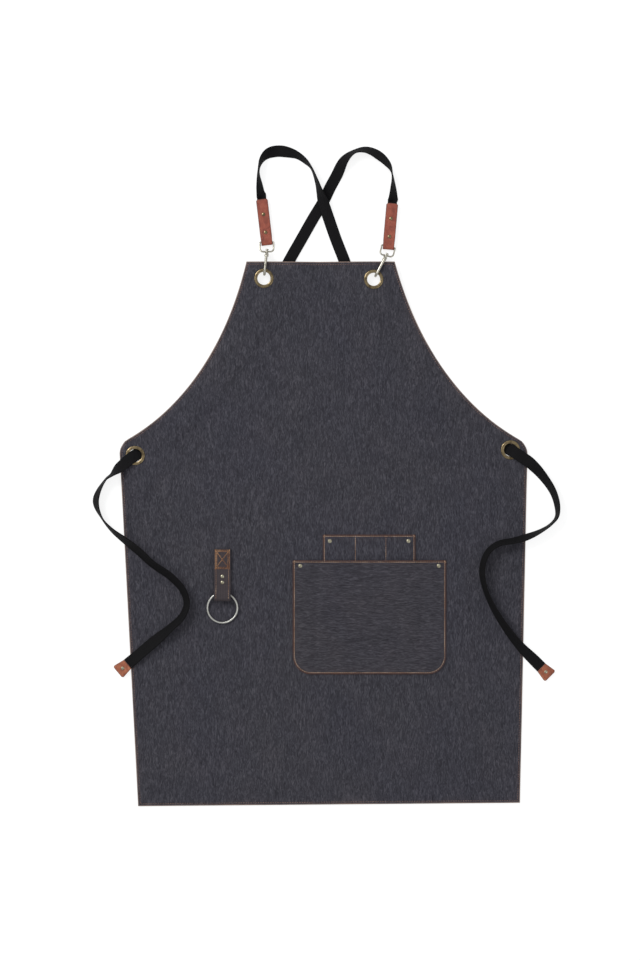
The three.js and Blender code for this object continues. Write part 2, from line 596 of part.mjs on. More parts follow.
function buildHanger(side) {
  const { angles, hole, eyeHigh, eyeLow } = hangerPlaces(side);
  const tab = new THREE.Group();
  tab.position.set(eyeHigh.x, eyeHigh.y, TAB_Z);
  tab.rotation.z = -rad(angles.tab);
  apron.add(tab);
  add(`${side}_tab`, tabGeometry(), leather, tab);
  const top = TAB_LENGTH - barSlot - LEATHER;
  TAB_RIVETS_DOWN.forEach((down, i) => {
    const name = `${side}_tab_rivet_${i ? 'lower' : 'upper'}`;
    rivet(name, SMALL_RIVET_R, SMALL_RIVET_RISE, tabHalf, -tabHalf, tab, 0, top - down);
  });

  const eye = new THREE.Group();
  eye.position.set(eyeLow.x, eyeLow.y, HOOK_AXIS_Z);
  eye.rotation.set(-eyePitch, 0, -rad(angles.eye), 'ZYX');
  apron.add(eye);
  add(`${side}_eye`, eyeGeometry(), nickel, eye);

  const hook = new THREE.Group();
  hook.position.set(hole.x, hole.y, HOOK_AXIS_Z);
  hook.rotation.z = -rad(angles.hook);
  apron.add(hook);
  add(`${side}_hook_body`, hookGeometry(), nickel, hook);
  add(`${side}_gate`, gateGeometry(), nickel, hook);
  const pin = add(`${side}_gate_pin`, rodX(GATE_PIN_R, SHOULDER_WIDTH - 0.4), nickel, hook);
  pin.position.copy(gatePivot);
  const spring = add(`${side}_gate_spring`, springGeometry(), springSteel, hook);
  spring.position.copy(gatePivot);
  spring.position.x = (GATE_WIDTH + GATE_PLAY) / 2;
  spring.rotation.y = Math.PI / 2;
}

// ---- Webbing ----
// Each route point is [x, y, height of its lower edge, roll in degrees, width]. The webbing rests on
// that edge wherever it is rolled up out of the flat.
const FLOOR = 0.5;
const SKIRT = pocketTops.panel + FIT;

const LEFT_ROUTE = [
  [-92.6, 904, 0.9, 42], [-94.3, 917, 0.9, 60], [-95.6, 939, FLOOR, 86],
  [-91, 954.3, FLOOR, 68], [-82, 963.6, FLOOR, 38], [-67.5, 967.6, FLOOR, 4],
  [-51, 965.2, FLOOR, 34], [-38.4, 960.7, FLOOR, 58],
  [-26.4, 951.8, FLOOR, 71], [-18, 942.1, FLOOR, 85], [-10.6, 924, 1.2, 76], [-5.2, 906, 2.6, 56],
  [0.8, 888.3, 2.9, 18], [7.1, 869.7, 2.0, 4], [18.2, 838, FLOOR, 0], [31, 805, FLOOR, 0],
  [46, 762, FLOOR, 0], [76, 716, FLOOR, 0], [122, 665, FLOOR, 0], [172, 613, FLOOR, 0],
  [220, 567, FLOOR, 0], [250, 542, FLOOR, 0, 15],
];
const LEFT_TAIL = [
  [300, 510.6, 7.4, 4], [306.5, 505.4, 6.2, 18], [322.6, 488.6, FLOOR, 42], [338.4, 465, FLOOR, 58],
  [344.8, 443.8, FLOOR, 67], [344.3, 428, FLOOR, 78], [336.3, 417.4, FLOOR, 83], [320.6, 406.9, 1.4, 75],
  [299.3, 397.6, SKIRT, 59], [281, 392.4, SKIRT, 62], [259.8, 388.4, SKIRT, 65], [244, 377.8, SKIRT, 66],
  [236, 362.1, SKIRT, 66], [234, 343.5, SKIRT, 65], [238.7, 319.8, SKIRT, 70], [251.9, 290.7, SKIRT, 64],
  [270.3, 261.7, SKIRT, 54], [291.5, 235.3, SKIRT, 38], [310, 216.8, 2.6, 12], [321.5, 205.3, 2.1, 0],
];
const LEFT_TIP_Z = 1.2;

const RIGHT_ROUTE = [
  [102.6, 897.5, 1.1, 36], [103, 909, 0.9, 56], [101.4, 933, FLOOR, 84],
  [94.9, 947.4, FLOOR, 55], [82.2, 960.3, FLOOR, 36], [68.7, 967.4, FLOOR, 46],
  [58.8, 969, FLOOR, 56], [45.1, 965.9, FLOOR, 66], [30.9, 954.2, FLOOR, 38],
  [19.4, 931.6, FLOOR, 0], [9.6, 913.4, FLOOR, 0], [0.3, 893.9, FLOOR, 0], [-14.3, 869.7, FLOOR, 0],
  [-32, 838.6, FLOOR, 0], [-51, 805, FLOOR, 0], [-67, 773, FLOOR, 0], [-90, 727, FLOOR, 0],
  [-122, 677, FLOOR, 0], [-161, 625, FLOOR, 0], [-206, 575, FLOOR, 0], [-250, 535, FLOOR, 0, 15],
];
const RIGHT_TAIL = [
  [-299.5, 501, 7.4, 20], [-311.4, 490.6, 4, 68], [-322, 481.5, 1, 79], [-335.8, 451.7, FLOOR, 56],
  [-326.6, 425.4, FLOOR, 80], [-312.2, 408.2, 1.6, 70], [-292.3, 392.4, SKIRT, 54],
  [-271.2, 375.4, SKIRT, 48], [-252.7, 358.3, SKIRT, 52], [-226.3, 340, SKIRT, 49],
  [-207.8, 320, SKIRT, 54], [-201.7, 300, SKIRT, 57], [-207.8, 281.7, SKIRT, 54],
  [-226.3, 263.2, SKIRT, 49], [-252.7, 240.9, SKIRT, 17], [-274, 222.8, SKIRT, 18],
  [-289, 210.2, SKIRT + 0.9, 0],
];
const RIGHT_TIP_Z = SKIRT;

// One flat band along a route. Its section is turned by the roll about the direction of travel.
function ribbon(route, steps) {
  const half = WEBBING_THICK / 2;
  const centre = (p) => {
    const roll = rad(p[3]);
    const width = p[4] ?? WEBBING_WIDTH;
    return new THREE.Vector3(p[0], p[1], p[2] + (width / 2) * Math.sin(roll) + half * Math.cos(roll));
  };
  const path = new THREE.CatmullRomCurve3(route.map(centre), false, 'centripetal');
  const band = new THREE.CatmullRomCurve3(
    route.map((p) => new THREE.Vector3(rad(p[3]), (p[4] ?? WEBBING_WIDTH) / 2, 0)), false, 'catmullrom');
  const positions = [];
  const up = new THREE.Vector3(0, 0, 1);
  for (let i = 0; i <= steps; i += 1) {
    const t = i / steps;
    const centreAt = path.getPoint(t);
    const forward = path.getTangent(t);
    const flat = new THREE.Vector3().crossVectors(up, forward).normalize();
    const { x: roll, y: halfWidth } = band.getPoint(t);
    const across = flat.applyAxisAngle(forward, roll);
    const normal = new THREE.Vector3().crossVectors(forward, across);
    for (const [a, b] of [[1, -1], [1, 1], [-1, 1], [-1, -1]]) {
      const corner = centreAt.clone().addScaledVector(across, a * halfWidth);
      corner.addScaledVector(normal, b * half);
      positions.push(corner.x, corner.y, corner.z);
    }
  }
  const index = [];
  for (let i = 0; i < steps; i += 1) {
    for (let k = 0; k < 4; k += 1) {
      const a = 4 * i + k;
      const b = 4 * i + ((k + 1) % 4);
      index.push(a, b, b + 4, a, b + 4, a + 4);
    }
  }
  const last = 4 * steps;
  index.push(0, 3, 2, 0, 2, 1, last, last + 1, last + 2, last, last + 2, last + 3);
  const geometry = new THREE.BufferGeometry();
  geometry.setAttribute('position', new THREE.Float32BufferAttribute(positions, 3));
  geometry.setIndex(index);
  geometry.computeVertexNormals();
  return geometry;
}

// The webbing lies flat between the leather layers of its tab, and climbs obliquely through one
// waist grommet, from under the cloth to above the flange.
function strapRoute(side, far, route, tail) {
  const { angles, tabTop } = hangerPlaces(side);
  const z = TAB_Z - WEBBING_THICK / 2;
  const tucked = [-WEBBING_TUCK, -WEBBING_TUCK / 2, 0, TAB_EXIT].map((reach) => {
    const { x, y } = tabTop.clone().add(along(angles.tab, reach));
    return [x, y, z, 0, WEBBING_IN_TAB];
  });
  const { x, y, lift } = grommetPlaces.find(({ name }) => name === `waist_${far}`);
  const [near] = route.slice(-1);
  const climb = new THREE.Vector2(tail[0][0] - near[0], tail[0][1] - near[1]).normalize();
  const over = lift + CLOTH + 2 * FIT + FLANGE_RISE;
  const through = [[-CLIMB_REACH, FLOOR], [0, (FLOOR + over) / 2], [CLIMB_REACH, over]].map(
    ([reach, height]) => [x + climb.x * reach, y + climb.y * reach, height, 0, WEBBING_IN_GROMMET]);
  return [...tucked, ...route, ...through, ...tail];
}

function tipOutline() {
  const neck = TIP_NECK / 2;
  const end = TIP_END / 2;
  const shape = new THREE.Shape();
  shape.moveTo(-neck, FIT);
  shape.lineTo(neck, FIT);
  shape.lineTo(end, TIP_LENGTH - TIP_CORNER);
  shape.quadraticCurveTo(end, TIP_LENGTH, end - TIP_CORNER, TIP_LENGTH);
  shape.lineTo(TIP_CORNER - end, TIP_LENGTH);
  shape.quadraticCurveTo(-end, TIP_LENGTH, -end, TIP_LENGTH - TIP_CORNER);
  shape.closePath();
  return shape;
}

function buildStrap(side, far, route, tail, tipZ) {
  const points = strapRoute(side, far, route, tail);
  const { tabTop, angles } = hangerPlaces(side);
  const rivetAt = tabTop.clone().add(along(angles.tab, -TAB_RIVETS_DOWN[0]));
  const band = solid(ribbon(points, 2 * points.length));
  add(`${side}_strap`, shell(cut(band, postHole(rivetAt))), blackWebbing);

  const [before, last] = points.slice(-2);
  const tip = new THREE.Group();
  tip.position.set(last[0], last[1], tipZ);
  tip.rotation.z = -Math.atan2(last[0] - before[0], last[1] - before[1]);
  apron.add(tip);
  const rivetY = TIP_LENGTH / 2;
  const leatherTip = solid(plate(tipOutline(), 0, TIP_THICK));
  add(`${side}_tip`, shell(cut(leatherTip, postHole({ x: 0, y: rivetY }))), leather, tip);
  rivet(`${side}_tip_rivet`, SMALL_RIVET_R, SMALL_RIVET_RISE, TIP_THICK, 0, tip, 0, rivetY);
}

buildPanel();
buildPockets();
buildGrommets();
buildPocketRivets();
buildToolLoop();
buildHanger('left');
buildHanger('right');
buildStrap('left', 'right', LEFT_ROUTE, LEFT_TAIL, LEFT_TIP_Z);
buildStrap('right', 'left', RIGHT_ROUTE, RIGHT_TAIL, RIGHT_TIP_Z);

// The origin is under the middle of the apron without its webbing, on the surface it lies on.
apron.updateMatrixWorld(true);
const outline = new THREE.Box3();
apron.traverse((piece) => {
  if (piece.isMesh && !/strap|tip/.test(piece.name)) outline.expandByObject(piece, true);
});
const middle = outline.getCenter(new THREE.Vector3());
apron.position.set(-middle.x, -middle.y, 0);

export default apron;
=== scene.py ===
"""Looks of a cross-back work apron laid flat on its back.

A waxed cloth panel with two patch pockets and a tool loop, hung from two swivel snap hooks on
leather tabs, with two webbing straps that cross above the bib and run out through the waist
grommets. Shapes are drawn in millimetres from the middle of the bottom hem and put in the row
frame as meshes.
"""

import logging
import math
from collections.abc import Sequence
from dataclasses import dataclass, field
from enum import Enum

import bmesh
import bpy
import numpy as np
from mathutils import Matrix, Vector


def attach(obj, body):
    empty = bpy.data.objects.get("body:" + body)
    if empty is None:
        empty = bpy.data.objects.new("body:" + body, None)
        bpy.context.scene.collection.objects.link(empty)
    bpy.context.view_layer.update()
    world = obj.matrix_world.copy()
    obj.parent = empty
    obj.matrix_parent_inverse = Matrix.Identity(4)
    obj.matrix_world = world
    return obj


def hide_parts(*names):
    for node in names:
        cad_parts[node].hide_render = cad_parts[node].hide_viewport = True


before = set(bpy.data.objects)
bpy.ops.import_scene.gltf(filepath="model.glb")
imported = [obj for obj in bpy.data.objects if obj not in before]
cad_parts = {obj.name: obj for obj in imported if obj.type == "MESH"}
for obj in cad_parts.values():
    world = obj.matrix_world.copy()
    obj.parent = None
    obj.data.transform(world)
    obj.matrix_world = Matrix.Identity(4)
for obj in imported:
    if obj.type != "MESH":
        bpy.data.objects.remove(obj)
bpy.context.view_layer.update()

log = logging.getLogger("apron")

MM = 0.001
# From the drawing's origin, on the hem, to the row frame's, in millimetres.
DRAWING_SHIFT = np.array([-0.139496, -448.52181, 0.0])
FIT = 0.3
BODY = "apron"
# Where a panel's and a pocket's mesh lines lie in from an edge: close at the fold and the stitches.
PANEL_EDGE = np.array([0, 0.7, 1.8, 3.4, 5, 7, 9.4, 11.4, 13.6, 16.5])
POCKET_EDGE = np.array([0, 0.35, 0.9, 1.7, 2.5, 3.4, 5, 6.8, 8.6, 10.5])

Points = np.ndarray
Route = list[tuple[float, ...]]
Colour = tuple[float, float, float, float]


class Side(Enum):
    """The two sides of the apron as it lies, with the sign of X on each."""

    LEFT = -1
    RIGHT = 1

    @property
    def word(self) -> str:
        """The side's name, as the nodes have it."""
        return self.name.lower()


class Grain(Enum):
    """Which way the cloth's slubs and creases run."""

    UPRIGHT = "upright"
    ACROSS = "across"


# ---------------------------------------------------------------- small helpers


def length_of(line: Points) -> float:
    """Length along a line of points."""
    return float(np.sum(np.linalg.norm(np.diff(line, axis=0), axis=1)))


def places_along(span: float, near: Points, cell: float) -> Points:
    """Places along a span, close together near both ends.

    Args:
        span: Its length.
        near: The places near its start, mirrored at its end.
        cell: About how far apart the others are.

    Returns:
        The places, from 0 to span.
    """
    count = max(int((span - 2 * near[-1]) / cell), 4)
    middle = np.linspace(near[-1], span - near[-1], count + 1)[1:-1]
    return np.concatenate([near, middle, span - near[::-1]])


def profile_frame(line: Points) -> tuple[Points, Points]:
    """Across and up at each point of a strip that is bent along a line.

    Args:
        line: The Y and Z of the strip's middle.

    Returns:
        The two directions, one row for each point.
    """
    along = np.gradient(line, axis=0)
    along /= np.linalg.norm(along, axis=1)[:, None]
    up = np.stack([np.zeros(len(line)), along[:, 1], -along[:, 0]], -1)
    return np.tile([1.0, 0, 0], (len(line), 1)), up


def add_node(tree: bpy.types.NodeTree, kind: str, inputs: dict | None,
             settings: dict) -> bpy.types.Node:
    """A node with its settings, and its inputs linked or set.

    Args:
        tree: The tree it goes in.
        kind: The node's type.
        inputs: Values or output sockets by input name or number.
        settings: Properties of the node.

    Returns:
        The node.
    """
    node = tree.nodes.new(kind)
    for key, value in settings.items():
        setattr(node, key, value)
    for key, value in (inputs or {}).items():
        if isinstance(value, bpy.types.NodeSocket):
            tree.links.new(value, node.inputs[key])
        else:
            node.inputs[key].default_value = value
    return node


def linear(red: int, green: int, blue: int) -> Colour:
    """A display colour of 0 to 255 a channel as scene-linear RGBA.

    Args:
        red: Red, from 0 to 255.
        green: Green, likewise.
        blue: Blue, likewise.

    Returns:
        The colour in linear light.
    """
    parts = [c / 255 for c in (red, green, blue)]
    done = [c / 12.92 if c <= 0.04045 else ((c + 0.055) / 1.055) ** 2.4 for c in parts]
    return (done[0], done[1], done[2], 1.0)


def ease(value: Points, start: float, end: float) -> Points:
    """Smooth step of value from 0 at start to 1 at end, either way round.

    Args:
        value: The numbers to ease.
        start: Where the step begins.
        end: Where the step is complete.

    Returns:
        The step, from 0 to 1, in the shape of value.
    """
    t = np.clip((np.asarray(value, float) - start) / (end - start), 0.0, 1.0)
    return t * t * (3 - 2 * t)


def turn(angle: float) -> tuple[float, float]:
    """The unit direction at a plan angle in degrees, clockwise from +Y."""
    return math.sin(math.radians(angle)), math.cos(math.radians(angle))


def at_place(x: float, y: float, z: float, clockwise: float = 0.0) -> Matrix:
    """A drawing place turned clockwise in plan, as a matrix in millimetres."""
    return Matrix.Translation((x, y, z)) @ Matrix.Rotation(-math.radians(clockwise), 4, "Z")


# ---------------------------------------------------------------- shapes


@dataclass
class Shape:
    """Points and faces in drawing millimetres.

    lay holds for each point how far it is across and along its strip and from its nearest edge.
    """

    points: Points
    faces: list[tuple[int, ...]]
    lay: Points | None = None

    def moved(self, matrix: Matrix) -> "Shape":
        """This shape under a matrix in millimetres."""
        m = np.array(matrix)
        return Shape(self.points @ m[:3, :3].T + m[:3, 3], self.faces, self.lay)

    def outward(self) -> "Shape":
        """This closed shape with its faces turned out, by the sign of its volume.

        Returns:
            The shape, turned if its volume was negative.
        """
        volume = 0.0
        p = self.points - self.points.mean(0)
        for face in self.faces:
            for b, c in zip(face[1:-1], face[2:]):
                volume += np.dot(p[face[0]], np.cross(p[b], p[c]))
        if volume < 0:
            self.faces = [tuple(reversed(f)) for f in self.faces]
        return self


def joined(shapes: Sequence[Shape]) -> Shape:
    """Several shapes as one.

    Args:
        shapes: The shapes, all of them with lay or none.

    Returns:
        One shape that holds them side by side.
    """
    faces: list[tuple[int, ...]] = []
    start = 0
    for shape in shapes:
        faces += [tuple(i + start for i in f) for f in shape.faces]
        start += len(shape.points)
    lay = None
    if all(s.lay is not None for s in shapes):
        lay = np.concatenate([s.lay for s in shapes])
    return Shape(np.concatenate([s.points for s in shapes]), faces, lay)


def lathe(profile: Sequence[tuple[float, float]], segments: int = 64) -> Shape:
    """A closed piece turned about Z.

    Args:
        profile: Radius and height pairs; a radius of 0 closes the piece on the axis.
        segments: Facets round it.

    Returns:
        The turned shape. A profile whose ends are both off the axis closes on itself.
    """
    points: list[tuple[float, float, float]] = []
    rings: list[list[int]] = []
    for r, z in profile:
        count = 1 if r == 0 else segments
        rings.append(list(range(len(points), len(points) + count)))
        for k in range(count):
            a = 2 * math.pi * k / segments
            points.append((r * math.cos(a), r * math.sin(a), z))
    pairs = list(zip(rings[:-1], rings[1:]))
    if profile[0][0] > 0 and profile[-1][0] > 0:
        pairs.append((rings[-1], rings[0]))
    faces: list[tuple[int, ...]] = []
    for low, high in pairs:
        for k in range(segments):
            n = (k + 1) % segments
            if len(low) == 1:
                faces.append((low[0], high[n], high[k]))
            elif len(high) == 1:
                faces.append((low[k], low[n], high[0]))
            else:
                faces.append((low[k], low[n], high[n], high[k]))
    return Shape(np.array(points), faces).outward()


def frames_along(path: Points, closed: bool, first: Vector) -> list[tuple[Vector, Vector]]:
    """Cross directions carried along a path without twist.

    Args:
        path: The points of the path.
        closed: Whether its end meets its start.
        first: A direction that the first cross direction stays near.

    Returns:
        Two unit vectors across the path at each point.
    """
    count = len(path)
    pairs: list[tuple[Vector, Vector]] = []
    side = first
    for i in range(count):
        ahead = path[(i + 1) % count] if closed else path[min(i + 1, count - 1)]
        behind = path[i - 1] if closed else path[max(i - 1, 0)]
        forward = Vector(ahead - behind).normalized()
        side = (side - forward * side.dot(forward)).normalized()
        pairs.append((side, forward.cross(side)))
    return pairs


def swept(path: Sequence[Sequence[float]], radius: float | Sequence[float], sides: int = 16,
          closed: bool = False, first: Vector | None = None, flat: float = 1.0) -> Shape:
    """A bar of round or oval section along a path.

    Args:
        path: Points of its centre line.
        radius: Its radius, or one for each point.
        sides: Facets round it.
        closed: Whether it is a ring.
        first: The direction that its first facet looks in.
        flat: Thickness across the second direction as a share of the first.

    Returns:
        The closed bar, with domed ends where it is open.
    """
    centre = np.array(path, float)
    radii = np.broadcast_to(np.asarray(radius, float), (len(centre),)).copy()
    if not closed:
        start, end = centre[0] - centre[1], centre[-1] - centre[-2]
        start, end = start / np.linalg.norm(start), end / np.linalg.norm(end)
        dome = [(0.96, 0.28), (0.7, 0.71), (0.3, 0.95)]
        head = [centre[0] + start * radii[0] * 0.6 * rise for _, rise in reversed(dome)]
        tail = [centre[-1] + end * radii[-1] * 0.6 * rise for _, rise in dome]
        centre = np.concatenate([head, centre, tail])
        radii = np.concatenate([[radii[0] * w for w, _ in reversed(dome)], radii,
                                [radii[-1] * w for w, _ in dome]])
    crosses = frames_along(centre, closed, first or Vector((0, 0, 1)))
    points = []
    for c, r, (u, v) in zip(centre, radii, crosses):
        for k in range(sides):
            a = 2 * math.pi * k / sides
            points.append(c + r * (math.cos(a) * np.array(u) + flat * math.sin(a) * np.array(v)))
    faces: list[tuple[int, ...]] = []
    rings = len(centre)
    for i in range(rings if closed else rings - 1):
        j = (i + 1) % rings
        for k in range(sides):
            n = (k + 1) % sides
            faces.append((i * sides + k, i * sides + n, j * sides + n, j * sides + k))
    if not closed:
        faces.append(tuple(range(sides - 1, -1, -1)))
        faces.append(tuple(range((rings - 1) * sides, rings * sides)))
    return Shape(np.array(points), faces).outward()


def block(size: tuple[float, float, float], centre: tuple[float, float, float],
          bevel: float) -> Shape:
    """A box with rounded edges.

    Args:
        size: Its three sides.
        centre: Its middle.
        bevel: The radius of its edges.

    Returns:
        The closed box.
    """
    mesh = bmesh.new()
    bmesh.ops.create_cube(mesh, size=1.0)
    bmesh.ops.scale(mesh, vec=size, verts=mesh.verts)
    bmesh.ops.bevel(mesh, geom=mesh.edges[:], offset=bevel, segments=3, profile=0.5,
                    affect="EDGES", clamp_overlap=True)
    mesh.verts.index_update()
    points = np.array([v.co + Vector(centre) for v in mesh.verts])
    faces = [tuple(v.index for v in f.verts) for f in mesh.faces]
    mesh.free()
    return Shape(points, faces).outward()


def strip_section(thickness: float, corner: float, cells: int) -> Points:
    """The section of a flat strip with rounded edges, as rows of (share, out, up).

    A point is share times the half width less the corner, plus out, across, and up off the middle.

    Args:
        thickness: Thickness of the strip.
        corner: Radius of its edges.
        cells: Divisions across each face.

    Returns:
        The rows, once round the section.
    """
    half = thickness / 2
    rows: list[tuple[float, float, float]] = []
    steps = np.linspace(-1, 1, cells + 1)
    arc = np.radians([30, 60, 90])
    rows += [(s, 0.0, -half) for s in steps]
    rows += [(1.0, corner * math.sin(a), corner - half - corner * math.cos(a)) for a in arc]
    rows += [(1.0, corner * math.cos(a - math.pi / 6), half - corner + corner
              * math.sin(a - math.pi / 6)) for a in arc]
    rows += [(s, 0.0, half) for s in steps[::-1]]
    rows += [(-1.0, -corner * math.sin(a), half - corner + corner * math.cos(a)) for a in arc]
    rows += [(-1.0, -corner * math.cos(a - math.pi / 6), corner - half - corner
              * math.sin(a - math.pi / 6)) for a in arc]
    return np.array(rows)


def strip(centre: Points, across: Points, up: Points, half: Points, section: Points,
          corner: float, cup: Points | float = 0.0) -> Shape:
    """A flat strip of cloth, webbing or leather along a path.

    Args:
        centre: Points of its middle line.
        across: Unit direction across it at each point.
        up: Unit direction off its face at each point.
        half: Half its width at each point.
        section: Rows from strip_section.
        corner: The corner radius that the section was made with.
        cup: How far its edges rise above its middle at each point.

    Returns:
        The closed strip, with lay filled in.
    """
    count, ring = len(centre), len(section)
    half = np.broadcast_to(half, (count,))
    cup = np.broadcast_to(cup, (count,))
    a = section[:, 0] * (half[:, None] - corner) + section[:, 1]
    share = a / half[:, None]
    b = section[:, 2] + cup[:, None] * share ** 2
    points = centre[:, None] + across[:, None] * a[..., None] + up[:, None] * b[..., None]
    step = np.linalg.norm(np.diff(centre, axis=0), axis=1)
    along = np.concatenate([[0.0], np.cumsum(step)])
    ends = np.minimum(along, along[-1] - along)
    edge = np.minimum(half[:, None] - np.abs(a), ends[:, None])
    lay = np.stack([a, np.broadcast_to(along[:, None], a.shape), edge], -1).reshape(-1, 3)
    faces: list[tuple[int, ...]] = []
    for i in range(count - 1):
        for k in range(ring):
            n = (k + 1) % ring
            faces.append((i * ring + k, i * ring + n, (i + 1) * ring + n, (i + 1) * ring + k))
    faces.append(tuple(range(ring - 1, -1, -1)))
    faces.append(tuple(range((count - 1) * ring, count * ring)))
    return Shape(points.reshape(-1, 3), faces, lay).outward()


def cloth_sheet(grid: Points, edge: Points, thickness: float, keep: Points | None = None) -> Shape:
    """A closed sheet under a grid of points on its upper face.

    Args:
        grid: Rows by columns by XYZ, columns running along +X and rows along +Y.
        edge: Distance of each point from the sheet's edge.
        thickness: Thickness of the cloth, thinned a little right at its edge.
        keep: Which cells to keep; all of them if not given.

    Returns:
        The sheet, with lay filled in.
    """
    rows, columns = grid.shape[:2]
    index = np.arange(rows * columns).reshape(rows, columns)
    quads = np.stack([index[:-1, :-1], index[:-1, 1:], index[1:, 1:], index[1:, :-1]], -1)
    quads = quads[keep] if keep is not None else quads.reshape(-1, 4)
    top = grid.reshape(-1, 3)
    rounding = (1 - ease(edge, 0.0, 0.8)).reshape(-1)
    upper = top - np.array([0, 0, 1.0]) * (0.28 * thickness * rounding)[:, None]
    lower = top - np.array([0, 0, 1.0]) * (thickness * (1 - 0.28 * rounding))[:, None]
    used = np.unique(quads)
    order = np.full(len(top), -1)
    order[used] = np.arange(len(used))
    quads = order[quads]
    count = len(used)
    edges = {}
    for quad in quads.tolist():
        for a, b in zip(quad, quad[1:] + quad[:1]):
            if (b, a) in edges:
                del edges[(b, a)]
            else:
                edges[(a, b)] = True
    faces = [tuple(q) for q in quads.tolist()]
    faces += [tuple(i + count for i in reversed(q)) for q in quads.tolist()]
    faces += [(b, a, a + count, b + count) for a, b in edges]
    flat = grid.reshape(-1, 3)[used]
    lay = np.stack([flat[:, 0], flat[:, 1], edge.reshape(-1)[used]], -1)
    return Shape(np.concatenate([upper[used], lower[used]]), faces, np.concatenate([lay, lay]))


def in_frame(points: Points) -> Points:
    """Drawing millimetres as metres in the row frame."""
    return (points + DRAWING_SHIFT) * MM


def piece(name: str, shape: Shape, finish: bpy.types.Material,
          replaces: Sequence[str] = (), body: str = BODY, sharp: float = 50.0) -> bpy.types.Object:
    """A finished piece of the apron.

    Args:
        name: Its name.
        shape: Its points and faces.
        finish: Its material.
        replaces: CAD nodes that it stands for.
        body: The CAD body that it rides on.
        sharp: Edges steeper than this many degrees stay crisp.

    Returns:
        The object.
    """
    mesh = bpy.data.meshes.new(name)
    mesh.from_pydata(in_frame(shape.points).tolist(), [], shape.faces)
    mesh.polygons.foreach_set("use_smooth", [True] * len(mesh.polygons))
    mesh.set_sharp_from_angle(angle=math.radians(sharp))
    if shape.lay is not None:
        lay = mesh.attributes.new("lay", "FLOAT_VECTOR", "POINT")
        lay.data.foreach_set("vector", shape.lay.astype(np.float32).ravel())
    mesh.materials.append(finish)
    obj = bpy.data.objects.new(name, mesh)
    bpy.context.scene.collection.objects.link(obj)
    return ridden(obj, replaces, body)


def ridden(obj: bpy.types.Object, replaces: Sequence[str],
           body: str = BODY) -> bpy.types.Object:
    """Puts a piece on its body and hides the CAD nodes that it stands for.

    Args:
        obj: The piece.
        replaces: CAD nodes that it stands for.
        body: The CAD body that it rides on.

    Returns:
        The piece.
    """
    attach(obj, body)
    if replaces:
        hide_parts(*replaces)
    faces = len(obj.data.polygons)
    log.info("%s: %d faces on %s", obj.name, faces, body)
    return obj


# ---------------------------------------------------------------- finishes


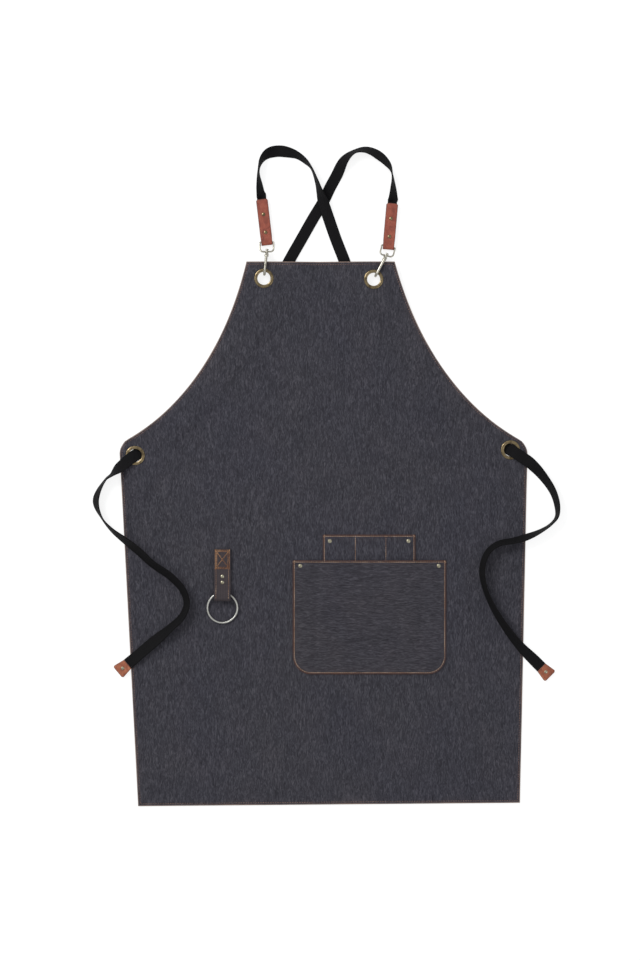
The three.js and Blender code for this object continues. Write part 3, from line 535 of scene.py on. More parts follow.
class Recipe:
    """A material's node tree round one Principled shader."""

    def __init__(self, name: str) -> None:
        """Starts an empty tree named for its finish.

        Args:
            name: The finish's name.
        """
        self.material = bpy.data.materials.new(name)
        self.material.use_nodes = True
        self.tree = self.material.node_tree
        self.tree.nodes.clear()
        self.shader = self.tree.nodes.new("ShaderNodeBsdfPrincipled")
        output = self.tree.nodes.new("ShaderNodeOutputMaterial")
        self.tree.links.new(self.shader.outputs["BSDF"], output.inputs["Surface"])

    def add(self, kind: str, inputs: dict | None = None, **settings: object) -> bpy.types.Node:
        """A node of this tree, as add_node makes it."""
        return add_node(self.tree, kind, inputs, settings)

    def spread(self, scale: tuple[float, float, float], turned: float = 0.0,
               source: bpy.types.NodeSocket | None = None) -> bpy.types.NodeSocket:
        """Object coordinates, or a source, scaled and turned about Z by degrees.

        Args:
            scale: How much finer along each axis.
            turned: Turn about Z, in degrees.
            source: Where to read from; object coordinates if not given.

        Returns:
            The scaled coordinates.
        """
        if source is None:
            source = self.add("ShaderNodeTexCoord").outputs["Object"]
        angle = (0.0, 0.0, math.radians(turned))
        node = self.add("ShaderNodeMapping", {"Vector": source, "Scale": scale, "Rotation": angle})
        return node.outputs["Vector"]

    def noise(self, vector: bpy.types.NodeSocket, scale: float = 1.0, detail: float = 3.0,
              roughness: float = 0.5, distortion: float = 0.0) -> bpy.types.NodeSocket:
        """Smooth noise from 0 to 1.

        Args:
            vector: Where to read it.
            scale: How fine it is.
            detail: Number of finer layers.
            roughness: Strength of the finer layers.
            distortion: How much it is warped.

        Returns:
            The noise.
        """
        node = self.add("ShaderNodeTexNoise", {
            "Vector": vector, "Scale": scale, "Detail": detail, "Roughness": roughness,
            "Distortion": distortion})
        return node.outputs["Fac"]

    def bands(self, vector: bpy.types.NodeSocket, pitch: float, axis: str = "X",
              distortion: float = 0.0, detail: float = 0.0) -> bpy.types.NodeSocket:
        """Sine bands of a pitch, in the vector's unit."""
        node = self.add("ShaderNodeTexWave", {
            "Vector": vector, "Scale": math.pi / 10 / pitch, "Distortion": distortion,
            "Detail": detail}, wave_type="BANDS", bands_direction=axis)
        return node.outputs["Fac"]

    def cells(self, vector: bpy.types.NodeSocket, scale: float,
              feature: str = "F1") -> bpy.types.NodeSocket:
        """Distance to the middle, or the edge, of Voronoi cells."""
        node = self.add("ShaderNodeTexVoronoi", {"Vector": vector, "Scale": scale}, feature=feature)
        return node.outputs["Distance"]

    def ramp(self, factor: bpy.types.NodeSocket,
             stops: Sequence[tuple[float, Colour]]) -> bpy.types.NodeSocket:
        """A colour for each level of a factor.

        Args:
            factor: The level, from 0 to 1.
            stops: Levels with their colours.

        Returns:
            The colour.
        """
        node = self.add("ShaderNodeValToRGB", {"Fac": factor})
        band = node.color_ramp.elements
        while len(band) < len(stops):
            band.new(0.5)
        for element, (place, colour) in zip(band, stops):
            element.position = place
            element.color = colour
        return node.outputs["Color"]

    def range(self, value: bpy.types.NodeSocket, low: float, high: float, to_low: float,
              to_high: float) -> bpy.types.NodeSocket:
        """A value stretched from one range to another, and held at its ends.

        Args:
            value: The value.
            low: Start of its range.
            high: End of its range.
            to_low: What the start becomes.
            to_high: What the end becomes.

        Returns:
            The stretched value.
        """
        node = self.add("ShaderNodeMapRange", {
            "Value": value, "From Min": low, "From Max": high, "To Min": to_low, "To Max": to_high})
        return node.outputs["Result"]

    def sum(self, operation: str, a: bpy.types.NodeSocket | float,
            b: bpy.types.NodeSocket | float) -> bpy.types.NodeSocket:
        """One step of arithmetic."""
        return self.add("ShaderNodeMath", {0: a, 1: b}, operation=operation).outputs[0]

    def mix(self, factor: bpy.types.NodeSocket | float, a: object, b: object,
            blend: str = "MIX") -> bpy.types.NodeSocket:
        """Two colours mixed."""
        node = self.add("ShaderNodeMix", {0: factor, 6: a, 7: b}, data_type="RGBA",
                        blend_type=blend)
        return node.outputs[2]

    def tint(self, factor: bpy.types.NodeSocket, colour: bpy.types.NodeSocket,
             by: Colour) -> bpy.types.NodeSocket:
        """A colour multiplied by another as far as a factor says."""
        return self.mix(factor, colour, self.mix(1.0, colour, by, "MULTIPLY"))

    def lay(self) -> tuple[bpy.types.NodeSocket, bpy.types.NodeSocket, bpy.types.NodeSocket]:
        """Across, along and edge distance of a strip or sheet, in millimetres.

        Returns:
            The three distances.
        """
        source = self.add("ShaderNodeAttribute", attribute_name="lay").outputs["Vector"]
        parts = self.add("ShaderNodeSeparateXYZ", {0: source}).outputs
        return parts[0], parts[1], parts[2]

    def bump(self, height: bpy.types.NodeSocket, distance: float,
             under: bpy.types.NodeSocket | None = None,
             strength: float = 1.0) -> bpy.types.NodeSocket:
        """A bump of a height in metres, over another.

        Args:
            height: The relief, from 0 to 1.
            distance: Depth of the relief in metres.
            under: The normal that it adds to.
            strength: Share of it that shows.

        Returns:
            The bumped normal.
        """
        inputs: dict = {"Height": height, "Distance": distance, "Strength": strength}
        if under is not None:
            inputs["Normal"] = under
        return self.add("ShaderNodeBump", inputs).outputs["Normal"]

    def done(self, **sockets: object) -> bpy.types.Material:
        """Sets or links the shader's sockets, named with underscores, and gives the material."""
        for key, value in sockets.items():
            socket = self.shader.inputs[key.replace("_", " ")]
            if isinstance(value, bpy.types.NodeSocket):
                self.tree.links.new(value, socket)
            else:
                socket.default_value = value
        return self.material


@dataclass(frozen=True)
class WaxedCloth:
    """Washed and waxed canvas with wavy slubs one way, and a brown raw edge; the pockets' darker
    brown edge is partly painted shade along their outline.
    """

    name: str
    grain: Grain = Grain.UPRIGHT
    deep: tuple = (33, 32, 38)
    body: tuple = (53, 52, 59)
    pale: tuple = (81, 80, 87)
    # Colour of the band along the outline: the cloth's raw edge, and on the pockets partly painted
    # shade.
    raw_edge: tuple = (136, 116, 106)

    def make(self) -> bpy.types.Material:
        """The finish as a material."""
        r = Recipe(self.name)
        upright = self.grain is Grain.UPRIGHT
        slub = r.noise(r.spread((400, 105, 60) if upright else (90, 640, 60)), 1.0, 3.0, 0.62, 1.5)
        crease = r.noise(r.spread((180, 46, 40) if upright else (34, 150, 40)), 1.0, 2.0, 0.5, 3.0)
        fibre = r.noise(r.spread((1500, 900, 500)), 1.0, 2.0, 0.5)
        twill = r.bands(r.spread((1, 1, 1), 62), 0.00085, distortion=0.6)
        thread = r.bands(r.spread((1, 1, 1), 0 if upright else 90), 0.00062, distortion=0.5)
        cloud = r.noise(r.spread((7, 6, 7)), 1.0, 4.0, 0.55)
        patch = r.noise(r.spread((26, 17, 20)), 1.0, 3.0, 0.6)
        streaks = r.sum("ADD", r.sum("MULTIPLY", slub, 0.62), r.sum("MULTIPLY", crease, 0.38))
        colour = r.ramp(streaks, [(0.3, linear(*self.deep)), (0.5, linear(*self.body)),
                                  (0.7, linear(*self.pale))])
        colour = r.tint(r.range(cloud, 0.35, 0.65, 0.0, 0.55), colour, (0.86, 0.87, 0.98, 1))
        colour = r.tint(r.range(patch, 0.42, 0.7, 0.0, 0.35), colour, (1.35, 1.27, 1.22, 1))
        colour = r.tint(r.range(twill, 0.2, 0.9, 0.0, 0.28), colour, (0.72, 0.72, 0.72, 1))
        _, _, edge = r.lay()
        # Band in the edge colour along the outline: on the panel its own tan raw edge, on the
        # pockets a darker brown that is partly painted shade along their outline.
        rubbed_and_shaded_edge = r.sum("MULTIPLY", r.range(edge, 0.9, 1.9, 1.0, 0.0),
                       r.range(patch, 0.3, 0.6, 0.45, 0.95))
        worn = r.sum("MULTIPLY", r.range(edge, 4.0, 11.5, 0.35, 0.0),
                     r.range(patch, 0.4, 0.6, 0.3, 1.0))
        colour = r.tint(worn, colour, (1.25, 1.1, 1.0, 1))
        colour = r.mix(rubbed_and_shaded_edge, colour, linear(*self.raw_edge))
        weave = r.sum("ADD", r.sum("MULTIPLY", twill, 0.6), r.sum("MULTIPLY", thread, 0.4))
        normal = r.bump(weave, 0.00012)
        normal = r.bump(fibre, 0.00015, normal)
        normal = r.bump(streaks, 0.0011, normal)
        return r.done(Base_Color=colour, Normal=normal,
                      Roughness=r.range(slub, 0.3, 0.7, 0.96, 0.74),
                      Specular_IOR_Level=0.28, Sheen_Weight=0.06, Sheen_Roughness=0.5)


@dataclass(frozen=True)
class Webbing:
    """Plain woven tape, ribbed across, with a tight selvedge."""

    name: str
    low: tuple = (8, 8, 9)
    high: tuple = (28, 27, 29)
    shine: float = 0.12
    rib: float = 1.25
    column: float = 1.6

    def make(self) -> bpy.types.Material:
        """The finish as a material."""
        r = Recipe(self.name)
        across, along, edge = r.lay()
        flat = r.add("ShaderNodeCombineXYZ", {0: across, 1: along}).outputs[0]
        ribs = r.bands(flat, self.rib, "Y", 0.35)
        columns = r.bands(flat, self.column, "X", 0.3)
        weave = r.sum("MULTIPLY", ribs, r.range(columns, 0.0, 1.0, 0.35, 1.0))
        fuzz = r.noise(r.spread((0.6, 0.25, 1), source=flat), 6.0, 3.0, 0.6)
        worn = r.noise(r.spread((22, 22, 22)), 1.0, 3.0, 0.55)
        shade = r.sum("ADD", r.sum("MULTIPLY", weave, 0.55), r.sum("MULTIPLY", fuzz, 0.45))
        colour = r.ramp(shade, [(0.18, linear(*self.low)), (0.75, linear(*self.high))])
        colour = r.tint(r.range(worn, 0.45, 0.7, 0.0, 0.35), colour, (1.35, 1.33, 1.3, 1))
        colour = r.tint(r.range(edge, 0.2, 1.3, 0.5, 0.0), colour, (0.6, 0.6, 0.6, 1))
        normal = r.bump(fuzz, 0.0001)
        normal = r.bump(weave, 0.0003, normal)
        return r.done(Base_Color=colour, Normal=normal,
                      Roughness=r.range(fuzz, 0.3, 0.7, 0.92, 0.72),
                      Specular_IOR_Level=self.shine)


@dataclass(frozen=True)
class Leather:
    """Smooth vegetable-tanned leather with a fine pore and burnished edges."""

    name: str
    deep: tuple = (112, 48, 33)
    body: tuple = (142, 67, 48)
    pale: tuple = (160, 84, 62)
    burnt: tuple = (72, 32, 22)

    def make(self) -> bpy.types.Material:
        """The finish as a material."""
        r = Recipe(self.name)
        grain = r.cells(r.spread((1, 1, 1)), 1500.0)
        pores = r.noise(r.spread((900, 900, 900)), 1.0, 3.0, 0.6)
        tone = r.noise(r.spread((120, 90, 120)), 1.0, 4.0, 0.6, 0.4)
        cloud = r.noise(r.spread((38, 30, 38)), 1.0, 2.0, 0.5)
        colour = r.ramp(tone, [(0.3, linear(*self.deep)), (0.5, linear(*self.body)),
                               (0.72, linear(*self.pale))])
        colour = r.tint(r.range(cloud, 0.42, 0.65, 0.0, 0.25), colour, (0.78, 0.72, 0.7, 1))
        colour = r.mix(r.range(pores, 0.52, 0.75, 0.0, 0.3), colour, linear(*self.deep))
        _, _, edge = r.lay()
        colour = r.mix(r.range(edge, 0.1, 1.3, 0.8, 0.0), colour, linear(*self.burnt))
        normal = r.bump(pores, 0.00012)
        normal = r.bump(grain, 0.00022, normal)
        normal = r.bump(tone, 0.0005, normal)
        return r.done(Base_Color=colour, Normal=normal,
                      Roughness=r.range(pores, 0.3, 0.7, 0.42, 0.64),
                      Specular_IOR_Level=0.45, Coat_Weight=0.08, Coat_Roughness=0.45)


@dataclass(frozen=True)
class Metal:
    """A plated metal with tarnish in patches and specks, and fine rubbing marks."""

    name: str
    bright: tuple
    tarnish: tuple
    smooth: float = 0.22
    rough: float = 0.42
    stained: float = 0.85

    def make(self) -> bpy.types.Material:
        """The finish as a material."""
        r = Recipe(self.name)
        stain = r.noise(r.spread((210, 210, 210)), 1.0, 3.0, 0.55, 0.3)
        speck = r.noise(r.spread((900, 900, 900)), 1.0, 3.0, 0.6)
        rub = r.noise(r.spread((2400, 320, 900), 24), 1.0, 2.0, 0.5)
        colour = r.mix(r.range(stain, 0.42, 0.68, 0.0, self.stained), linear(*self.bright),
                       linear(*self.tarnish))
        colour = r.mix(r.range(speck, 0.58, 0.75, 0.0, 0.6 * self.stained), colour,
                       linear(*self.tarnish))
        normal = r.bump(rub, 0.000014)
        normal = r.bump(speck, 0.000015, normal)
        wear = r.sum("ADD", r.sum("MULTIPLY", stain, 0.6), r.sum("MULTIPLY", rub, 0.4))
        return r.done(Base_Color=colour, Normal=normal, Metallic=1.0,
                      Roughness=r.range(wear, 0.35, 0.65, self.smooth, self.rough))


@dataclass(frozen=True)
class Thread:
    """Waxed sewing thread with a visible twist."""

    name: str
    body: tuple
    pale: tuple

    def make(self) -> bpy.types.Material:
        """The finish as a material."""
        r = Recipe(self.name)
        ply = r.bands(r.spread((1, 1, 1), 38), 0.0006, distortion=0.4)
        tone = r.noise(r.spread((46, 46, 46)), 1.0, 4.0, 0.72)
        shade = r.sum("ADD", r.sum("MULTIPLY", ply, 0.22), r.sum("MULTIPLY", tone, 0.78))
        dark = tuple(int(c * 0.62) for c in self.body)
        colour = r.ramp(shade, [(0.38, linear(*dark)), (0.49, linear(*self.body)),
                                (0.6, linear(*self.pale))])
        return r.done(Base_Color=colour, Normal=r.bump(ply, 0.00012),
                      Roughness=r.range(tone, 0.3, 0.7, 0.8, 0.55), Specular_IOR_Level=0.35,
                      Sheen_Weight=0.1)


@dataclass
class Finishes:
    """Every finish of the apron, made once."""

    cloth: bpy.types.Material = field(default_factory=lambda: WaxedCloth("panel_cloth").make())
    # The pockets' dark brown edge colour is partly their raw edge and partly painted shade along
    # their outline.
    pocket: bpy.types.Material = field(default_factory=lambda: WaxedCloth(
        "pocket_cloth", Grain.ACROSS, (34, 33, 38), (55, 53, 59), (82, 80, 86),
        (84, 56, 45)).make())
    pencil: bpy.types.Material = field(default_factory=lambda: WaxedCloth(
        "pencil_cloth", raw_edge=(84, 56, 45)).make())
    webbing: bpy.types.Material = field(default_factory=lambda: Webbing("black_tape").make())
    loop: bpy.types.Material = field(default_factory=lambda: Webbing(
        "loop_tape", (44, 39, 42), (80, 72, 75), 0.25, 1.5, 2.4).make())
    leather: bpy.types.Material = field(default_factory=lambda: Leather("tan_leather").make())
    tips: bpy.types.Material = field(default_factory=lambda: Leather(
        "tip_leather", (112, 54, 34), (150, 82, 54), (182, 112, 78), (98, 50, 34)).make())
    brass: bpy.types.Material = field(default_factory=lambda: Metal(
        "antique_brass", (142, 126, 96), (72, 61, 45)).make())
    nickel: bpy.types.Material = field(default_factory=lambda: Metal(
        "nickel_plate", (182, 178, 166), (128, 121, 106), 0.26, 0.36, 0.3).make())
    ring: bpy.types.Material = field(default_factory=lambda: Metal(
        "ring_plate", (198, 197, 192), (168, 165, 156), 0.36, 0.48, 0.4).make())
    stud: bpy.types.Material = field(default_factory=lambda: Metal(
        "stud_metal", (172, 168, 148), (118, 108, 84), 0.28, 0.46).make())
    steel: bpy.types.Material = field(default_factory=lambda: Metal(
        "spring_steel", (160, 160, 162), (96, 94, 92), 0.25, 0.4).make())
    orange: bpy.types.Material = field(default_factory=lambda: Thread(
        "copper_thread", (172, 120, 84), (222, 196, 168)).make())
    gold: bpy.types.Material = field(default_factory=lambda: Thread(
        "golden_thread", (178, 108, 54), (234, 190, 140)).make())
    rust: bpy.types.Material = field(default_factory=lambda: Thread(
        "rust_thread", (122, 86, 74), (156, 122, 108)).make())


# ---------------------------------------------------------------- repeated pieces


class NodeTree:
    """A geometry node tree with named inputs, and its links."""

    def __init__(self, name: str, inputs: Sequence[tuple[str, str]]) -> None:
        """Starts a tree.

        Args:
            name: Its name.
            inputs: Name and socket type of each input after the geometry.
        """
        self.group = bpy.data.node_groups.new(name, "GeometryNodeTree")
        face = self.group.interface
        face.new_socket("Geometry", in_out="INPUT", socket_type="NodeSocketGeometry")
        for label, kind in inputs:
            face.new_socket(label, in_out="INPUT", socket_type=kind)
        face.new_socket("Geometry", in_out="OUTPUT", socket_type="NodeSocketGeometry")
        self.given = self.group.nodes.new("NodeGroupInput").outputs

    def add(self, kind: str, inputs: dict | None = None, **settings: object) -> bpy.types.Node:
        """A node of this tree, as add_node makes it."""
        return add_node(self.group, kind, inputs, settings)

    def end(self, geometry: bpy.types.NodeSocket, material: bpy.types.NodeSocket) -> None:
        """Realizes the instances, sets their material and closes the tree.

        Args:
            geometry: What the tree made.
            material: The material it wears.
        """
        real = self.add("GeometryNodeRealizeInstances", {"Geometry": geometry}).outputs[0]
        smooth = self.add("GeometryNodeSetShadeSmooth", {"Geometry": real}).outputs[0]
        dressed = self.add("GeometryNodeSetMaterial", {
            "Geometry": smooth, "Material": material}).outputs[0]
        self.add("NodeGroupOutput", {"Geometry": dressed})

    def run(self, source: bpy.types.Mesh, name: str, values: dict[str, object]) -> bpy.types.Object:
        """Runs the tree on a mesh and keeps the plain mesh that comes out.

        Args:
            source: The mesh it starts from.
            name: The name of the piece.
            values: Its inputs by name.

        Returns:
            The finished object, without the modifier.
        """
        obj = bpy.data.objects.new(name, source)
        bpy.context.scene.collection.objects.link(obj)
        modifier = obj.modifiers.new("repeat", "NODES")
        modifier.node_group = self.group
        for item in self.group.interface.items_tree:
            if item.item_type == "SOCKET" and item.in_out == "INPUT" and item.name in values:
                modifier[item.identifier] = values[item.name]
        obj.update_tag()
        graph = bpy.context.evaluated_depsgraph_get()
        graph.update()
        mesh = bpy.data.meshes.new_from_object(obj.evaluated_get(graph), depsgraph=graph)
        obj.modifiers.clear()
        obj.data = mesh
        mesh.name = name
        return obj


def stitch_tree() -> NodeTree:
    """A row of stitches along every line of a mesh of edges.

    Returns:
        The tree, with its sizes and thread as inputs.
    """
    tree = NodeTree("stitch_row", [
        ("Pitch", "NodeSocketFloat"), ("Stitch", "NodeSocketFloat"),
        ("Thickness", "NodeSocketFloat"), ("Seed", "NodeSocketInt"),
        ("Thread", "NodeSocketMaterial")])
    curve = tree.add("GeometryNodeMeshToCurve", {"Mesh": tree.given["Geometry"]}).outputs[0]
    row = tree.add("GeometryNodeResampleCurve", {
        "Curve": curve, "Length": tree.given["Pitch"]}, mode="LENGTH").outputs[0]
    ball = tree.add("GeometryNodeMeshUVSphere", {
        "Segments": 6, "Rings": 4, "Radius": 0.5}).outputs[0]
    size = tree.add("ShaderNodeCombineXYZ", {
        0: tree.given["Stitch"], 1: tree.given["Thickness"], 2: tree.given["Thickness"]}).outputs[0]
    stitch = tree.add("GeometryNodeTransform", {"Geometry": ball, "Scale": size}).outputs[0]
    tangent = tree.add("GeometryNodeInputTangent").outputs[0]
    facing = tree.add("FunctionNodeAlignRotationToVector", {"Vector": tangent}, axis="X").outputs[0]
    jitter = tree.add("FunctionNodeRandomValue", {
        "Min": (-0.03, -0.03, -0.09), "Max": (0.03, 0.03, 0.09), "Seed": tree.given["Seed"]},
        data_type="FLOAT_VECTOR").outputs[0]
    turned = tree.add("FunctionNodeRotateRotation", {
        0: facing, 1: tree.add("FunctionNodeEulerToRotation", {0: jitter}).outputs[0]},
        rotation_space="LOCAL").outputs[0]
    set_down = tree.add("GeometryNodeInstanceOnPoints", {
        "Points": row, "Instance": stitch, "Rotation": turned}).outputs[0]
    tree.end(set_down, tree.given["Thread"])
    return tree


def stud_tree() -> NodeTree:
    """A turned part set down on every point of a mesh.

    Returns:
        The tree, with its part and metal as inputs.
    """
    tree = NodeTree("set_of_parts", [("Part", "NodeSocketObject"), ("Metal", "NodeSocketMaterial")])
    part = tree.add("GeometryNodeObjectInfo", {"Object": tree.given["Part"]},
                    transform_space="ORIGINAL").outputs["Geometry"]
    set_down = tree.add("GeometryNodeInstanceOnPoints", {
        "Points": tree.given["Geometry"], "Instance": part}).outputs[0]
    tree.end(set_down, tree.given["Metal"])
    return tree


@dataclass
class Workshop:
    """Finishes and node trees that every sub-assembly uses."""

    finishes: Finishes = field(default_factory=Finishes)
    stitches: NodeTree = field(default_factory=stitch_tree)
    studs: NodeTree = field(default_factory=stud_tree)

    def sew(self, name: str, lines: Sequence[Points], thread: bpy.types.Material, slot: str,
            pitch: float = 3.7, stitch: float = 3.0, thickness: float = 0.75,
            seed: int = 3) -> bpy.types.Object:
        """Rows of stitches.

        Args:
            name: The piece's name.
            lines: The rows, each as points on the cloth in drawing millimetres.
            thread: The thread's material.
            slot: Not used.
            pitch: From one stitch to the next.
            stitch: Length of a stitch.
            thickness: Thickness of the thread.
            seed: Seed of the small unevenness of the rows.

        Returns:
            The rows as one piece.
        """
        points: list[Points] = []
        edges: list[tuple[int, int]] = []
        start = 0
        for line in lines:
            points.append(in_frame(np.asarray(line, float)))
            edges += [(start + i, start + i + 1) for i in range(len(line) - 1)]
            start += len(line)
        mesh = bpy.data.meshes.new(name + "_line")
        mesh.from_pydata(np.concatenate(points).tolist(), edges, [])
        obj = self.stitches.run(mesh, name, {
            "Pitch": pitch * MM, "Stitch": stitch * MM, "Thickness": thickness * MM, "Seed": seed,
            "Thread": thread})
        return ridden(obj, ())

    def set_parts(self, name: str, part: Shape, places: Sequence[Sequence[float]],
                  metal: bpy.types.Material, slot: str, replaces: Sequence[str],
                  body: str = BODY) -> bpy.types.Object:
        """One turned part at each of several places.

        Args:
            name: The piece's name.
            part: The part about its own origin.
            places: Where it goes, in drawing millimetres.
            metal: Its material.
            slot: Not used.
            replaces: CAD nodes that they stand for.
            body: The CAD body that they ride on.

        Returns:
            The parts as one piece.
        """
        single = bpy.data.meshes.new(name + "_part")
        single.from_pydata((part.points * MM).tolist(), [], part.faces)
        holder = bpy.data.objects.new(name + "_part", single)
        bpy.context.scene.collection.objects.link(holder)
        mesh = bpy.data.meshes.new(name + "_places")
        mesh.from_pydata(in_frame(np.array(places, float)).tolist(), [], [])
        obj = self.studs.run(mesh, name, {"Part": holder, "Metal": metal})
        bpy.data.objects.remove(holder)
        return ridden(obj, replaces, body)


# ---------------------------------------------------------------- panel


@dataclass
class Grommet:
    """A grommet's place and how high the cloth's underside is there."""

    name: str
    x: float
    y: float
    lift: float
    reach: float


@dataclass
class Panel:
    """The apron's cloth, its hem and its grommets."""

    shop: Workshop
    height: float = 804.0
    bib_half: float = 109.3
    waist_half: float = 301.0
    hem_half: float = 282.0
    waist_y: float = 530.0
    waist_round: float = 9.0
    lean: float = 0.0155
    hem_rise: float = 5.0
    cloth: float = 1.4
    hem_width: float = 12.0
    row_inset: float = 3.4
    skirt_lift: float = 1.0
    cell: float = 3.6
    hole: float = 10.9
    wave_seed: int = 11
    waves: int = 16
    wave_height: float = 0.42
    bib_wave_height: float = 0.75
    strap_rise: float = 2.4
    strap_near: float = 10.5
    strap_far: float = 27.0
    grommet_near: float = 17.0
    calm_near: float = 25.0
    calm_far: float = 60.0
    hem_fold: float = 0.5
    stitch_furrow: float = 0.34
    under_straps: list[Points] = field(default_factory=list)

    def __post_init__(self) -> None:
        """Samples the side edge and the wrinkle waves once."""
        t = np.linspace(0, 1, 60)[:, None]
        waist, w = self.waist_half, self.waist_round
        corner = ((1 - t) ** 2 * np.array([waist, self.waist_y - w])
                  + 2 * t * (1 - t) * np.array([waist, self.waist_y])
                  + t ** 2 * np.array([waist - w, self.waist_y + w + 1]))
        ends = np.array([[waist - w, self.waist_y + w + 1], [waist - 108, self.waist_y + 65],
                         [self.bib_half + 26, self.height - 103], [self.bib_half, self.height]])
        arm = ((1 - t) ** 3 * ends[0] + 3 * t * (1 - t) ** 2 * ends[1]
               + 3 * t ** 2 * (1 - t) * ends[2] + t ** 3 * ends[3])
        side = np.concatenate([[[self.hem_half, 0.0]], corner, arm[1:]])
        self.side = side
        rng = np.random.default_rng(self.wave_seed)
        angle = rng.uniform(0, math.pi, self.waves)
        size = 2 * math.pi / rng.uniform(55, 210, self.waves)
        self.wave = np.stack([np.cos(angle) * size, np.sin(angle) * size,
                              rng.uniform(0, 2 * math.pi, self.waves)], -1)
        self.grommets = [
            Grommet("bib_left", -84 + self.lean_at(779.2), 779.2, 9.3, 105),
            Grommet("bib_right", 77.8 + self.lean_at(777.7), 777.7, 9.3, 105),
            Grommet("waist_left", -278.2 + self.lean_at(518), 518.0, 4.2, 75),
            Grommet("waist_right", 276.0 + self.lean_at(526.2), 526.2, 4.2, 75),
        ]

    def lean_at(self, y: float | Points) -> float | Points:
        """Sideways drift of the centre line at a height."""
        return (self.waist_y - y) * self.lean

    def half_at(self, y: Points) -> Points:
        """Half the width of the panel at a height."""
        return np.interp(y, self.side[:, 1], self.side[:, 0])

    def edge_distance(self, x: Points, y: Points) -> Points:
        """How far inside the outline a point is, near enough for hems.

        Args:
            x: Places across, from the middle of the hem.
            y: Places up, from the hem.

        Returns:
            The distances, and 0 outside.
        """
        half = self.half_at(y)
        slope = np.gradient(self.side[:, 0], self.side[:, 1])
        steep = np.interp(y, self.side[:, 1], np.abs(slope))
        inside = (half - np.abs(x - self.lean_at(y))) / np.sqrt(1 + np.minimum(steep, 3) ** 2)
        low = y - self.bottom(x)
        return np.maximum(np.minimum.reduce([inside, self.height - y, low]), 0)

    def bottom(self, x: Points) -> Points:
        """Height of the bottom hem, a little higher on the right."""
        share = np.clip((x + self.hem_half) / (2 * self.hem_half), 0, 1)
        return self.hem_rise * share

    def underside(self, x: Points, y: Points) -> Points:
        """Height of the cloth's lower face as it lies over the straps and hooks.

        Args:
            x: Places across, from the middle of the hem.
            y: Places up, from the hem.

        Returns:
            The heights.
        """
        raised = np.zeros(np.broadcast(x, y).shape)
        calm = np.zeros_like(raised)
        for g in self.grommets:
            away = np.hypot(x - g.x, y - g.y)
            bell = 1 - ease(away, self.grommet_near, g.reach)
            raised = np.maximum(raised, (g.lift - self.skirt_lift) * bell)
            calm = np.maximum(calm, 1 - ease(away, self.calm_near, self.calm_far))
        for line in self.under_straps:
            near = np.full(raised.shape, 1e9)
            for a, b in zip(line[:-1], line[1:]):
                d = b[:2] - a[:2]
                t = np.clip(((x - a[0]) * d[0] + (y - a[1]) * d[1]) / (d @ d), 0, 1)
                near = np.minimum(near, np.hypot(x - a[0] - t * d[0], y - a[1] - t * d[1]))
            slope = 1 - ease(near, self.strap_near, self.strap_far)
            raised = np.maximum(raised, self.strap_rise * slope)
        swell = sum(np.sin(kx * x + ky * y + p) for kx, ky, p in self.wave)
        swell = swell / math.sqrt(self.waves)
        still = ease(self.edge_distance(x, y), 4, 34) * (1 - calm)
        strength = self.wave_height + self.bib_wave_height * ease(y, 480, 620)
        return self.skirt_lift + raised + still * (strength * np.tanh(1.2 * swell) - 0.15)

    def top(self, x: Points, y: Points) -> Points:
        """Height of the cloth's upper face, hem relief and stitch furrow included.

        Args:
            x: Places across, from the middle of the hem.
            y: Places up, from the hem.

        Returns:
            The heights.
        """
        edge = self.edge_distance(x, y)
        hem = self.hem_fold * (1 - ease(edge, self.hem_width - 1.5, self.hem_width + 2.5))
        furrow = self.stitch_furrow * np.exp(-((edge - self.row_inset) / 1.3) ** 2)
        return self.underside(x, y) + self.cloth + hem - furrow

    def grid(self) -> tuple[Points, Points]:
        """The upper face as a grid, and each point's distance from the edge.

        Returns:
            The grids of X and Y.
        """
        rows = places_along(self.height, PANEL_EDGE, self.cell)
        columns = len(places_along(2 * self.waist_half, PANEL_EDGE, self.cell))
        half = self.half_at(rows)
        slope = np.abs(np.gradient(half, rows))
        widen = np.sqrt(1 + np.minimum(slope, 1.9) ** 2)
        x = np.empty((len(rows), columns))
        for i, (h, k) in enumerate(zip(half, widen)):
            inset = PANEL_EDGE * k
            inner = columns - 2 * len(PANEL_EDGE) + 2
            middle = np.linspace(-h + inset[-1], h - inset[-1], inner)
            x[i] = np.concatenate([-h + inset, middle[1:-1], h - inset[::-1]])
        y = np.broadcast_to(rows[:, None], x.shape)
        fade = 1 - ease(y, 0, 160)
        y = y + self.bottom(x) * fade
        x = x + self.lean_at(y)
        return x, y

    def build(self) -> bpy.types.Object:
        """The cloth, its turned hem, the hem's stitches and the grommets.

        Returns:
            The cloth.
        """
        x, y = self.grid()
        keep = np.ones((x.shape[0] - 1, x.shape[1] - 1), bool)
        for g in self.grommets:
            away = np.hypot(x - g.x, y - g.y)
            inside = away < self.hole
            keep &= ~(inside[:-1, :-1] & inside[1:, :-1] & inside[:-1, 1:] & inside[1:, 1:])
            push = np.where(inside, self.hole / np.maximum(away, 1e-6), 1.0)
            x, y = g.x + (x - g.x) * push, g.y + (y - g.y) * push
        edge = self.edge_distance(x, y)
        grid = np.stack([x, y, self.top(x, y)], -1)
        shop, fin = self.shop, self.shop.finishes
        cloth = piece("apron_cloth", cloth_sheet(grid, edge, self.cloth, keep), fin.cloth,
                      ["apron_panel"])
        outline = self.inset_line(0.2)
        hem = self.turned_hem()
        shop.sew("hem_stitches", [self.on_top(self.inset_line(self.row_inset), 0.12)], fin.rust,
                 "waxed_cloth", pitch=3.6, stitch=3.0, thickness=0.72)
        x, y = outline[:, 0], outline[:, 1]
        self.build_grommets()
        return cloth

